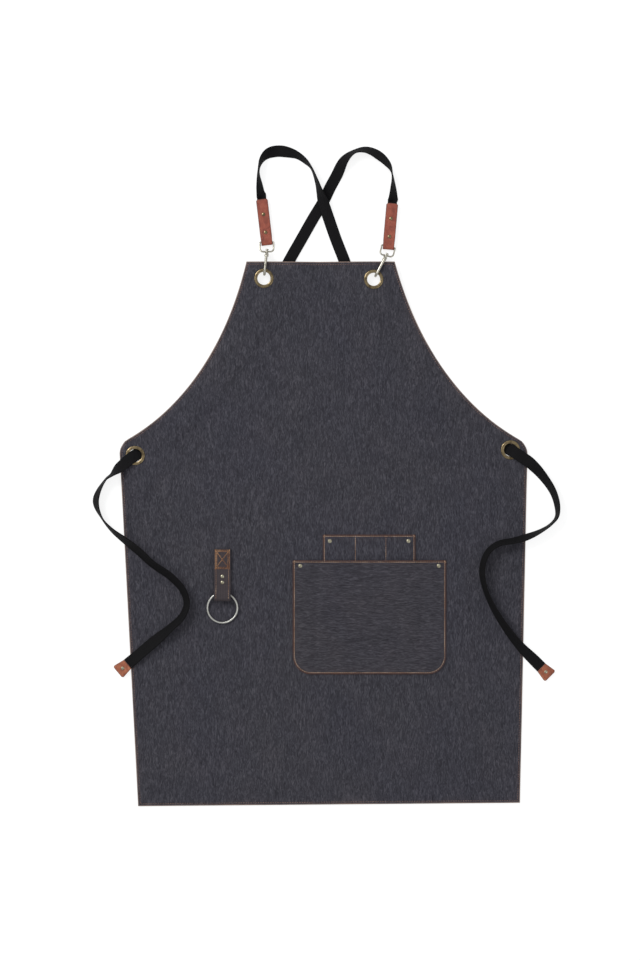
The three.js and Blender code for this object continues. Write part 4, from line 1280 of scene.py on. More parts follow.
    def inset_line(self, inset: float) -> Points:
        """The outline drawn in by an inset, once round from the bib's left corner.

        Args:
            inset: How far in from the outline.

        Returns:
            The closed line, with Z at 0.
        """
        ys = np.concatenate([np.linspace(self.height - inset, self.waist_y + 12, 150),
                             np.linspace(self.waist_y + 11, self.waist_y - 12, 60),
                             np.linspace(self.waist_y - 16, inset, 120)])
        half = self.half_at(ys)
        tangent = np.stack([np.gradient(half), np.gradient(ys)], -1)
        tangent /= np.linalg.norm(tangent, axis=1)[:, None]
        out = half + inset * tangent[:, 1]
        lifted = ys - inset * tangent[:, 0]
        lifted = np.clip(lifted, inset, self.height - inset)
        left = np.stack([-out + self.lean_at(lifted), lifted], -1)
        right = np.stack([out + self.lean_at(lifted), lifted], -1)[::-1]
        across = np.linspace(left[-1], right[0], 120)[1:-1]
        over = np.linspace(right[-1], left[0], 60)[1:]
        loop = np.concatenate([left, across, right, over])
        rise = self.bottom(loop[:, 0]) * (1 - ease(loop[:, 1], 0, 160))
        loop[:, 1] += rise
        return np.concatenate([loop, np.zeros((len(loop), 1))], 1)

    def on_top(self, line: Points, above: float) -> Points:
        """A line laid on the cloth's upper face.

        Args:
            line: The line, seen from above.
            above: Its height over the cloth.

        Returns:
            The line with its heights.
        """
        done = line.copy()
        done[:, 2] = self.top(line[:, 0], line[:, 1]) + above
        return done

    def turned_hem(self) -> bpy.types.Object:
        """The cloth turned under all round, just below the panel's lower face.

        Returns:
            The hem.
        """
        rings = [self.inset_line(i) for i in (0.5, 3.4, 6.5, 9.5, self.hem_width)]
        grid = np.stack(rings, 0)
        edge = np.broadcast_to(np.array([0.0, 2.9, 5.5, 2.5, 0.0])[:, None], grid.shape[:2])
        x, y = grid[..., 0], grid[..., 1]
        z = self.underside(x, y) - 0.06
        return piece("turned_hem", cloth_sheet(np.stack([x, y, z], -1)[::-1], edge[::-1], 0.85),
                     self.shop.finishes.cloth)

    def build_grommets(self) -> None:
        """Front eyelets with rolled barrels and flat back washers."""
        hole, barrel, flange, rise = 9.6, 10.4, 14.2, 0.9
        low, seat = -FIT - 0.8, self.cloth + FIT
        eyelet = lathe([
            (hole, low + 0.2), (hole + 0.15, low), (barrel, low), (barrel, seat - 0.02),
            (flange - 0.35, seat - 0.02), (flange, seat + 0.08), (flange, seat + 0.3),
            (flange - 0.4, seat + 0.6), (flange - 1.1, seat + 0.82), (flange - 2.1, seat + rise),
            (barrel + 0.9, seat + rise), (barrel + 0.1, seat + 0.74), (hole + 0.3, seat + 0.5),
            (hole + 0.04, seat + 0.2), (hole, seat - 0.2)])
        washer = lathe([
            (barrel + 0.3, low), (barrel + 1.2, low), (12.6, low + 0.05), (13.2, low + 0.2),
            (13.4, low + 0.5), (13.3, low + 0.8), (barrel + 0.3, low + 0.8)])
        places = [(g.x, g.y, g.lift) for g in self.grommets]
        brass = self.shop.finishes.brass
        self.shop.set_parts("grommet_eyelets", eyelet, places, brass, "antique_brass",
                            [f"grommet_{g.name}_eyelet" for g in self.grommets])
        self.shop.set_parts("grommet_washers", washer, places, brass, "antique_brass",
                            [f"grommet_{g.name}_washer" for g in self.grommets])


# ---------------------------------------------------------------- rivets


def stud_cap(radius: float, rise: float) -> Shape:
    """A domed rivet cap with a rolled rim, its seat at z = 0.

    Args:
        radius: Radius of its rim.
        rise: Height of its dome.

    Returns:
        The cap with its post.
    """
    return lathe([
        (0, -1.0), (1.5, -1.0), (1.5, -0.02), (radius - 0.3, -0.02), (radius, 0.12 * rise),
        (radius, 0.32 * rise), (0.93 * radius, 0.5 * rise), (0.84 * radius, 0.55 * rise),
        (0.76 * radius, 0.6 * rise), (0.6 * radius, 0.86 * rise), (0.36 * radius, 0.98 * rise),
        (0, rise)], 32)


def stud_back(radius: float) -> Shape:
    """A rivet's shallow back, its seat at z = 0 and its face below.

    Args:
        radius: Radius of its face.

    Returns:
        The back.
    """
    return lathe([
        (0, -0.62), (0.35 * radius, -0.66), (0.8 * radius, -0.7), (radius, -0.4), (radius, -0.02),
        (0, -0.02)], 32)


# ---------------------------------------------------------------- pockets


@dataclass
class Pocket:
    """A patch pocket sewn to the panel on three sides, open at its upper edge."""

    shop: Workshop
    panel: Panel
    name: str
    left: float
    width: float
    bottom: float
    height: float
    round: float
    puff: float
    rivet_in: float
    rivet_down: float
    dividers: list[float] = field(default_factory=list)
    over: "Pocket | None" = None
    grain: Grain = Grain.ACROSS
    cloth: float = 1.1
    gap: float = 0.14
    row_inset: float = 2.4
    cell: float = 2.6

    @property
    def x0(self) -> float:
        """X of its left edge."""
        return self.left + self.panel.lean_at(self.bottom)

    @property
    def upper(self) -> float:
        """Y of its open edge."""
        return self.bottom + self.height

    def edge_distance(self, x: Points, y: Points) -> Points:
        """How far inside its outline a point is; negative outside.

        Args:
            x: Places across, from the middle of the hem.
            y: Places up, from the hem.

        Returns:
            The distances.
        """
        cx = self.x0 + self.width / 2
        dx = np.abs(x - cx) - self.width / 2
        dy = self.bottom - y
        corner = np.hypot(np.maximum(dx + self.round, 0), np.maximum(dy + self.round, 0))
        corner = corner - self.round
        plain = np.maximum(dx, dy)
        sewn = np.where((dx > -self.round) & (dy > -self.round), corner, plain)
        return -np.maximum(sewn, y - self.upper)

    def sewn_distance(self, x: Points, y: Points) -> Points:
        """Distance from the three sewn sides only.

        Args:
            x: Places across, from the middle of the hem.
            y: Places up, from the hem.

        Returns:
            The distances.
        """
        cx = self.x0 + self.width / 2
        side = self.width / 2 - np.abs(x - cx)
        return np.minimum(side, y - self.bottom)

    def lower(self, x: Points, y: Points) -> Points:
        """Height of its cloth's lower face.

        Args:
            x: Places across, from the middle of the hem.
            y: Places up, from the hem.

        Returns:
            The heights.
        """
        z = self.panel.top(x, y) + self.gap
        if self.over is not None:
            covered = ease(self.over.edge_distance(x, y), -9, -0.5)
            z = z + covered * (self.over.thick + self.gap)
        mouth = ease(y, self.bottom, self.upper) * 0.75 + 0.25
        free = ease(self.sewn_distance(x, y), 3, 46)
        for divider in self.dividers:
            free = np.minimum(free, ease(np.abs(x - divider), 1.0, 20))
        return z + self.puff * free * mouth

    @property
    def thick(self) -> float:
        """The most that this pocket stands off the panel away from its mouth."""
        return self.cloth + self.puff + 0.45

    def top(self, x: Points, y: Points) -> Points:
        """Height of its cloth's upper face.

        Args:
            x: Places across, from the middle of the hem.
            y: Places up, from the hem.

        Returns:
            The heights.
        """
        edge = self.edge_distance(x, y)
        fold = 0.42 * (1 - ease(edge, 6.5, 9.5))
        furrow = 0.4 * np.exp(-((edge - self.row_inset) / 1.1) ** 2)
        for divider in self.dividers:
            furrow = furrow + 0.35 * np.exp(-(np.abs(x - divider) / 1.1) ** 2)
        return self.lower(x, y) + self.cloth + fold - furrow

    def build(self) -> bpy.types.Object:
        """The pocket's cloth, its rows of stitches and its corner rivets.

        Returns:
            The cloth.
        """
        rows = self.bottom + places_along(self.height, POCKET_EDGE, self.cell)
        share = places_along(self.width, POCKET_EDGE, self.cell) / self.width
        cut = np.clip(self.round - (rows - self.bottom), 0, self.round)
        inset = self.round - np.sqrt(np.maximum(self.round ** 2 - cut ** 2, 0))
        x = self.x0 + inset[:, None] + share[None] * (self.width - 2 * inset[:, None])
        y = np.broadcast_to(rows[:, None], x.shape)
        edge = np.maximum(self.edge_distance(x, y), 0)
        grid = np.stack([x, y, self.top(x, y)], -1)
        fin = self.shop.finishes
        finish = fin.pocket if self.grain is Grain.ACROSS else fin.pencil
        cloth = piece(self.name + "_cloth", cloth_sheet(grid, edge, self.cloth), finish,
                      [self.name])
        self.shop.sew(self.name + "_stitches", self.rows_of_stitches(), fin.orange, "waxed_cloth",
                      pitch=3.3, stitch=2.8, thickness=0.95, seed=5)
        self.build_rivets()
        return cloth

    def rows_of_stitches(self) -> list[Points]:
        """The rows round three sides, along the open edge and down the dividers.

        Returns:
            The rows as lines of points.
        """
        r = self.row_inset
        left, right = self.x0 + r, self.x0 + self.width - r
        low, high, bend = self.bottom + r, self.upper - r, max(self.round - r, 0.5)
        arc = np.radians(np.linspace(0, 90, 12))
        down = [(left, y) for y in np.linspace(high + 1.2, low + bend, 50)]
        first = [(left + bend - bend * math.cos(a), low + bend - bend * math.sin(a)) for a in arc]
        along = [(x, low) for x in np.linspace(left + bend, right - bend, 60)]
        second = [(right - bend + bend * math.sin(a), low + bend - bend * math.cos(a)) for a in arc]
        up = [(right, y) for y in np.linspace(low + bend, high + 1.2, 50)]
        mouth = [(x, high) for x in np.linspace(left - 1.0, right + 1.0, 70)]
        lines = [down + first[1:] + along[1:] + second[1:] + up[1:], mouth]
        for divider in self.dividers:
            lines.append([(divider, y) for y in np.linspace(high, low, 50)])
        done = []
        for line in lines:
            flat = np.array(line)
            z = self.top(flat[:, 0], flat[:, 1]) + 0.16
            done.append(np.concatenate([flat, z[:, None]], 1))
        return done

    def build_rivets(self) -> None:
        """A rivet in each upper corner, with its back behind the panel."""
        xs = [self.x0 + self.rivet_in, self.x0 + self.width - self.rivet_in]
        y = self.upper - self.rivet_down
        spots = [(x, y, float(self.top(np.array(x), np.array(y))) + 0.05) for x in xs]
        backs = [(x, y, float(self.panel.underside(np.array(x), np.array(y)))) for x in xs]
        stem = f"{self.name}_rivet_"
        fin = self.shop.finishes
        self.shop.set_parts(self.name + "_rivet_caps", stud_cap(2.9, 1.3), spots, fin.stud,
                            "antique_brass", [stem + "left_cap", stem + "right_cap"])
        self.shop.set_parts(self.name + "_rivet_backs", stud_back(2.9), backs, fin.brass,
                            "antique_brass", [stem + "left_back", stem + "right_back"])


# ---------------------------------------------------------------- tool loop


@dataclass
class ToolLoop:
    """A strip folded round a ring, boxed to the panel at its top."""

    shop: Workshop
    panel: Panel
    width: float = 25.0
    ply: float = 1.5
    top_y: float = 380.0
    end_y: float = 303.0
    rivets: tuple[float, float] = (339.5, 330.6)
    ring_mean: float = 21.9
    ring_wire: float = 1.6
    ring_look: float = 1.42

    def build(self) -> None:
        """The folded strip, its stitches and rivets, and the ring."""
        x0 = -151.6 + self.panel.lean_at(self.top_y)
        base = self.panel.skirt_lift + self.panel.cloth + FIT
        sag = self.ring_mean - math.sqrt(self.ring_mean ** 2 - (self.width / 2) ** 2)
        fold = sag / 2 + self.ring_wire + FIT
        fold_z, fold_y = base + self.ply + fold, self.end_y + self.ply + fold
        pivot_y, radius = fold_y + 4.6, fold + self.ply / 2
        upper = base + 1.5 * self.ply + FIT
        pressed = min(self.rivets) - 2.9 - 1.6
        lower_run = [(y, base + self.ply / 2) for y in np.linspace(self.top_y, fold_y, 24)]
        arc = [(fold_y - radius * math.sin(a), fold_z - radius * math.cos(a))
               for a in np.radians(np.linspace(8, 172, 20))]
        ys = np.linspace(fold_y, self.top_y, 40)
        drop = ease(ys, pivot_y + fold - 2.0, pressed + 1.5)
        upper_run = [(y, (fold_z + radius) * (1 - d) + upper * d) for y, d in zip(ys, drop)]
        line = np.array(lower_run + arc + upper_run)
        count = len(line)
        centre = np.stack([np.full(count, x0), line[:, 0], line[:, 1]], -1)
        across, up = profile_frame(line)
        section = strip_section(self.ply, 0.6, 10)
        fin = self.shop.finishes
        shape = strip(centre, across, up, np.full(count, self.width / 2), section, 0.6)
        tape = piece("tool_loop_strip", shape, fin.loop, ["tool_loop"])
        z = upper + self.ply / 2 + 0.12
        half, low, high = self.width / 2 - 2.2, 351.0, self.top_y - 1.8
        corners = [(-half, low), (half, low), (half, high), (-half, high), (-half, low)]
        inner = [(x - math.copysign(2.0, x), y + (2.0 if y == low else -2.0)) for x, y in corners]
        lines = [self.row(x0, corners, z), self.row(x0, inner, z),
                 self.row(x0, [(-half, low), (half, high)], z + 0.1),
                 self.row(x0, [(-half, high), (half, low)], z + 0.1)]
        self.shop.sew("tool_loop_box_stitches", lines, fin.gold, "loop_webbing", 2.5, 2.2, 1.05, 7)
        side = self.width / 2 - 3.2
        runs = []
        for s in (-side, side):
            ys = np.linspace(low - 1, fold_y, 40)
            d = ease(ys, pivot_y + fold - 2.0, pressed + 1.5)
            zs = (fold_z + radius) * (1 - d) + upper * d + self.ply / 2 + 0.1
            runs.append(np.stack([np.full(40, x0 + s), ys, zs], -1))
        self.shop.sew("tool_loop_side_stitches", runs, fin.orange, "loop_webbing",
                      2.8, 2.4, 0.75, 9)
        stem = "tool_loop_rivet_"
        caps = [(x0, y, upper + self.ply / 2 + 0.05) for y in self.rivets]
        backs = [(x0, y, float(self.panel.underside(np.array(x0), np.array(y))))
                 for y in self.rivets]
        self.shop.set_parts("tool_loop_rivet_caps", stud_cap(2.6, 1.2), caps, fin.stud,
                            "antique_brass", [stem + "upper_cap", stem + "lower_cap"])
        self.shop.set_parts("tool_loop_rivet_backs", stud_back(2.6), backs, fin.brass,
                            "antique_brass", [stem + "upper_back", stem + "lower_back"])
        self.build_ring(x0, pivot_y, fold_z, sag, base)

    def row(self, x0: float, corners: Sequence[tuple[float, float]], z: float) -> Points:
        """A row of stitches through corners at one height."""
        return np.array([(x0 + x, y, z) for x, y in corners])

    def build_ring(self, x0: float, pivot_y: float, pivot_z: float, sag: float,
                   base: float) -> None:
        """The ring, which rests on the cloth at its far side.

        Args:
            x0: X of the loop's centre line.
            pivot_y: Y of the ring's swing axis.
            pivot_z: Its height.
            sag: How far the ring bows across the loop.
            base: Height of the loop's lower face.
        """
        far = 2 * self.ring_mean - sag / 2
        tilt = math.asin((pivot_z - base - self.ring_wire) / far)
        turns = np.linspace(0, 2 * math.pi, 96, endpoint=False)
        middle = sag / 2 - self.ring_mean
        wide = self.ring_mean + self.ring_wire - self.ring_look
        path = [(wide * math.sin(a), middle + wide * math.cos(a), 0) for a in turns]
        ring = swept(path, self.ring_look, 20, closed=True)
        where = Matrix.Translation((x0, pivot_y, pivot_z)) @ Matrix.Rotation(tilt, 4, "X")
        piece("tool_ring_bar", ring.moved(where), self.shop.finishes.ring,
              ["tool_ring"], "tool_ring")


# ---------------------------------------------------------------- hangers


@dataclass
class Hanger:
    """A leather tab, its eye and a swivel snap hook, from the webbing down to a bib grommet."""

    shop: Workshop
    panel: Panel
    side: Side
    hook_angle: float
    eye_angle: float
    tab_angle: float
    reach: float = 39.6
    axis_z: float = 8.2
    loop_r: float = 6.0
    wire_r: float = 2.0
    eye_height: float = 15.0
    eye_wire: float = 1.1
    eye_look: float = 1.25
    eye_inside: float = 17.8
    tab_z: float = 4.0
    leather: float = 1.9
    tab_width: float = 17.2
    fold_width: float = 16.6
    tab_top_y: float = 63.8
    tab_rivets: tuple[float, float] = (41.1, 14.4)
    shoulder: float = 4.6
    boss_reach: float = 2.1825

    def __post_init__(self) -> None:
        """Chains the places of the hook, the eye and the tab."""
        g = next(g for g in self.panel.grommets if g.name == "bib_" + self.side.word)
        self.hole = np.array([g.x, g.y])
        self.eye_low = self.hole + self.reach * np.array(turn(self.hook_angle))
        pitch = math.asin((self.axis_z - self.tab_z) / self.eye_height)
        self.pitch = pitch
        rise = self.eye_height * math.cos(pitch)
        self.eye_high = self.eye_low + rise * np.array(turn(self.eye_angle))
        self.tab_top = self.eye_high + self.tab_top_y * np.array(turn(self.tab_angle))

    def build(self) -> None:
        """The tab with its rivets, the eye and the hook."""
        self.build_tab()
        self.build_eye()
        self.build_hook()

    def build_tab(self) -> None:
        """One piece of leather folded round the eye's bar and riveted over the webbing."""
        gap, fold_gap, slot = 1.1, 1.4, 2.8
        mid, fold_mid = gap + self.leather / 2, fold_gap + self.leather / 2
        turn_y = fold_gap - slot
        ys = np.concatenate([np.linspace(self.tab_top_y, 10, 26), np.linspace(9, turn_y, 9)])
        z = mid + (fold_mid - mid) * (1 - ease(ys, 4.3, 7.3))
        arc = np.radians(np.linspace(12, 168, 14))
        around = [(turn_y - fold_mid * math.sin(a), -fold_mid * math.cos(a)) for a in arc]
        line = np.array([*zip(ys, -z), *around, *zip(ys[::-1], z[::-1])])
        count = len(line)
        centre = np.stack([np.zeros(count), line[:, 0], line[:, 1]], -1)
        across, up = profile_frame(line)
        widening = (self.tab_width - self.fold_width) * ease(line[:, 0], 2.8, 12)
        half = (self.fold_width + widening) / 2
        corner = np.maximum(line[:, 0] - (self.tab_top_y - 2.0), 0)
        half = half - (2.0 - np.sqrt(np.maximum(4.0 - corner ** 2, 0)))
        section = strip_section(self.leather, 0.5, 12)
        shape = strip(centre, across, up, half, section, 0.5)
        where = at_place(*self.eye_high, self.tab_z, self.tab_angle)
        word, fin = self.side.word, self.shop.finishes
        piece(f"{word}_tab_leather", shape.moved(where), fin.leather, [f"{word}_tab"])
        spots = [where @ Vector((0, y, gap + self.leather + 0.05)) for y in self.tab_rivets]
        backs = [where @ Vector((0, y, -gap - self.leather)) for y in self.tab_rivets]
        stem = f"{word}_tab_rivet_"
        self.shop.set_parts(stem + "caps", stud_cap(2.6, 1.2), spots, fin.brass, "antique_brass",
                            [stem + "upper_cap", stem + "lower_cap"])
        self.shop.set_parts(stem + "backs", stud_back(2.7), backs, fin.brass, "antique_brass",
                            [stem + "upper_back", stem + "lower_back"])

    def build_eye(self) -> None:
        """The D eye, with the boss that the hook swivels in on its lower bar."""
        half, c, top = self.eye_inside / 2 + self.eye_wire, 4.6, self.eye_height
        arc = np.radians(np.linspace(0, 90, 8))
        right = [(half - c + c * math.sin(a), c - c * math.cos(a), 0) for a in arc]
        upper = [(half - 1.2 + 1.2 * math.cos(a), top - 1.2 + 1.2 * math.sin(a), 0) for a in arc]
        outline = [(0, 0, 0), (half / 2, 0, 0), *right, (half, top / 2, 0), *upper,
                   (half / 2, top, 0), (0, top, 0)]
        mirrored = [(-x, y, z) for x, y, z in reversed(outline[1:-1])]
        loop = swept(outline + mirrored, self.eye_look, 14, closed=True)
        boss = lathe([(1.85, -1.2), (2.4, -1.2), (2.7, -0.9), (2.7, 0.9), (2.4, 1.2),
                      (1.85, 1.2)], 32)
        boss = boss.moved(Matrix.Rotation(-math.pi / 2, 4, "X"))
        where = (at_place(*self.eye_low, self.axis_z, self.eye_angle)
                 @ Matrix.Rotation(-self.pitch, 4, "X"))
        word = self.side.word
        piece(f"{word}_eye_loop", joined([loop, boss]).moved(where), self.shop.finishes.nickel,
              [f"{word}_eye"])

    def build_hook(self) -> None:
        """The hook's bent bar, its forked shoulder and its swivel post."""
        r, wire = self.loop_r, self.wire_r
        lip = 9.3 + self.panel.cloth + FIT + 0.27 - self.axis_z
        bow = 9.6 - 2 * FIT + math.sqrt((r - wire) ** 2 - lip ** 2)
        start = self.reach - self.boss_reach - FIT - self.shoulder
        nose = bow + 3.2
        back = [(0, y, r) for y in np.linspace(start + 1.5, bow, 9)]
        bend = [(0, bow - r * math.sin(a), r * math.cos(a))
                for a in np.radians(np.linspace(0, 180, 27))[1:]]
        front = [(0, y, -r) for y in np.linspace(bow, nose - 0.9, 4)[1:]]
        path = back + bend + front
        radii = np.interp(np.arange(len(path)), [0, 6, len(path) - 1], [wire, wire, wire * 0.92])
        bar = swept(path, radii, 20, first=Vector((1, 0, 0)))
        mid, height = start + self.shoulder / 2, 2 * (r + wire) - 1.2
        crown = block((6, self.shoulder, height / 2 + 1.5), (0, mid, height / 4 - 0.75), 0.8)
        cheek = (1.1, self.shoulder, height / 2 - 1.2)
        cheeks = [block(cheek, (s * 2.45, mid, -height / 4 - 0.9), 0.4) for s in (-1, 1)]
        head = self.reach + self.boss_reach + FIT
        turned = lathe([
            (0, mid), (1.2, mid), (1.2, head + 0.1), (2.2, head + 0.1), (2.5, head + 0.4),
            (2.5, head + 1.0), (2.0, head + 1.5), (0, head + 1.7)], 28)
        post = turned.moved(Matrix.Rotation(-math.pi / 2, 4, "X"))
        where = at_place(*self.hole, self.axis_z, self.hook_angle)
        word = self.side.word
        piece(f"{word}_hook_bar", joined([bar, crown, *cheeks, post]).moved(where),
              self.shop.finishes.nickel, [f"{word}_hook_body"], f"{word}_hook")


# ---------------------------------------------------------------- straps

FLOOR, SKIRT = 0.5, 2.7
ROUTES: dict[Side, tuple[Route, Route]] = {
    Side.LEFT: (
        [(-92.6, 904, 0.9, 42), (-94.3, 917, 0.9, 60), (-95.6, 939, FLOOR, 86),
         (-91, 954.3, FLOOR, 68), (-82, 963.6, FLOOR, 38), (-67.5, 967.6, FLOOR, 4),
         (-51, 965.2, FLOOR, 34), (-38.4, 960.7, FLOOR, 58), (-26.4, 951.8, FLOOR, 71),
         (-18, 942.1, FLOOR, 85), (-10.6, 924, 1.2, 76), (-5.2, 906, 2.6, 56),
         (0.8, 888.3, 2.9, 18), (7.1, 869.7, 2.0, 4),
         (18.2, 838, FLOOR, 0), (31, 805, FLOOR, 0), (46, 762, FLOOR, 0), (76, 716, FLOOR, 0),
         (122, 665, FLOOR, 0), (172, 613, FLOOR, 0), (220, 567, FLOOR, 0),
         (250, 542, FLOOR, 0, 15)],
        [(300, 510.6, 7.4, 4), (306.5, 505.4, 6.2, 18), (322.6, 488.6, FLOOR, 42),
         (338.4, 465, FLOOR, 58), (344.8, 443.8, FLOOR, 67), (344.3, 428, FLOOR, 78),
         (336.3, 417.4, FLOOR, 83), (320.6, 406.9, 1.4, 75), (299.3, 397.6, SKIRT, 59),
         (281, 392.4, SKIRT, 62), (259.8, 388.4, SKIRT, 65), (244, 377.8, SKIRT, 66),
         (236, 362.1, SKIRT, 66), (234, 343.5, SKIRT, 65), (238.7, 319.8, SKIRT, 70),
         (251.9, 290.7, SKIRT, 64), (270.3, 261.7, SKIRT, 54), (291.5, 235.3, SKIRT, 38),
         (310, 216.8, 2.6, 12), (321.5, 205.3, 2.1, 0)]),
    Side.RIGHT: (
        [(102.6, 897.5, 1.1, 36), (103, 909, 0.9, 56), (101.4, 933, FLOOR, 84),
         (94.9, 947.4, FLOOR, 55), (82.2, 960.3, FLOOR, 36), (68.7, 967.4, FLOOR, 46),
         (58.8, 969, FLOOR, 56), (45.1, 965.9, FLOOR, 66), (30.9, 954.2, FLOOR, 38),
         (19.4, 931.6, FLOOR, 0),
         (9.6, 913.4, FLOOR, 0), (0.3, 893.9, FLOOR, 0), (-14.3, 869.7, FLOOR, 0),
         (-32, 838.6, FLOOR, 0), (-51, 805, FLOOR, 0), (-67, 773, FLOOR, 0), (-90, 727, FLOOR, 0),
         (-122, 677, FLOOR, 0), (-161, 625, FLOOR, 0), (-206, 575, FLOOR, 0),
         (-250, 535, FLOOR, 0, 15)],
        [(-299.5, 501, 7.4, 20), (-311.4, 490.6, 4, 68), (-322, 481.5, 1, 79),
         (-335.8, 451.7, FLOOR, 56), (-326.6, 425.4, FLOOR, 80), (-312.2, 408.2, 1.6, 70),
         (-292.3, 392.4, SKIRT, 54), (-271.2, 375.4, SKIRT, 48), (-252.7, 358.3, SKIRT, 52),
         (-226.3, 340, SKIRT, 49), (-207.8, 320, SKIRT, 54), (-201.7, 300, SKIRT, 57),
         (-207.8, 281.7, SKIRT, 54), (-226.3, 263.2, SKIRT, 49), (-252.7, 240.9, SKIRT, 17),
         (-274, 222.8, SKIRT, 18), (-289, 210.2, SKIRT + 0.9, 0)]),
}


def spline(knots: Points, values: Points, power: float, steps: int) -> Points:
    """A Catmull-Rom curve through values.

    Args:
        knots: The points that set how the curve is timed.
        values: What it passes through, one row for each knot.
        power: Share of the distance that times it: 0.5 is centripetal, 0 is even.
        steps: Samples between two knots.

    Returns:
        The samples.
    """
    ends = [2 * values[0] - values[1], 2 * values[-1] - values[-2]]
    places = [2 * knots[0] - knots[1], 2 * knots[-1] - knots[-2]]
    v = np.concatenate([[ends[0]], values, [ends[1]]])
    k = np.concatenate([[places[0]], knots, [places[1]]])
    gap = np.linalg.norm(np.diff(k, axis=0), axis=1) ** power
    done = []
    for i in range(1, len(v) - 2):
        a, b, c = gap[i - 1], gap[i], gap[i + 1]
        into, over, out = v[i] - v[i - 1], v[i + 1] - v[i], v[i + 2] - v[i + 1]
        first = b * (into / a - (v[i + 1] - v[i - 1]) / (a + b) + over / b)
        last = b * (over / b - (v[i + 2] - v[i]) / (b + c) + out / c)
        t = np.linspace(0, 1, steps, endpoint=False)[:, None]
        done.append((2 * t ** 3 - 3 * t ** 2 + 1) * v[i] + (t ** 3 - 2 * t ** 2 + t) * first
                    + (3 * t ** 2 - 2 * t ** 3) * v[i + 1] + (t ** 3 - t ** 2) * last)
    return np.concatenate([*done, [v[-2]]])


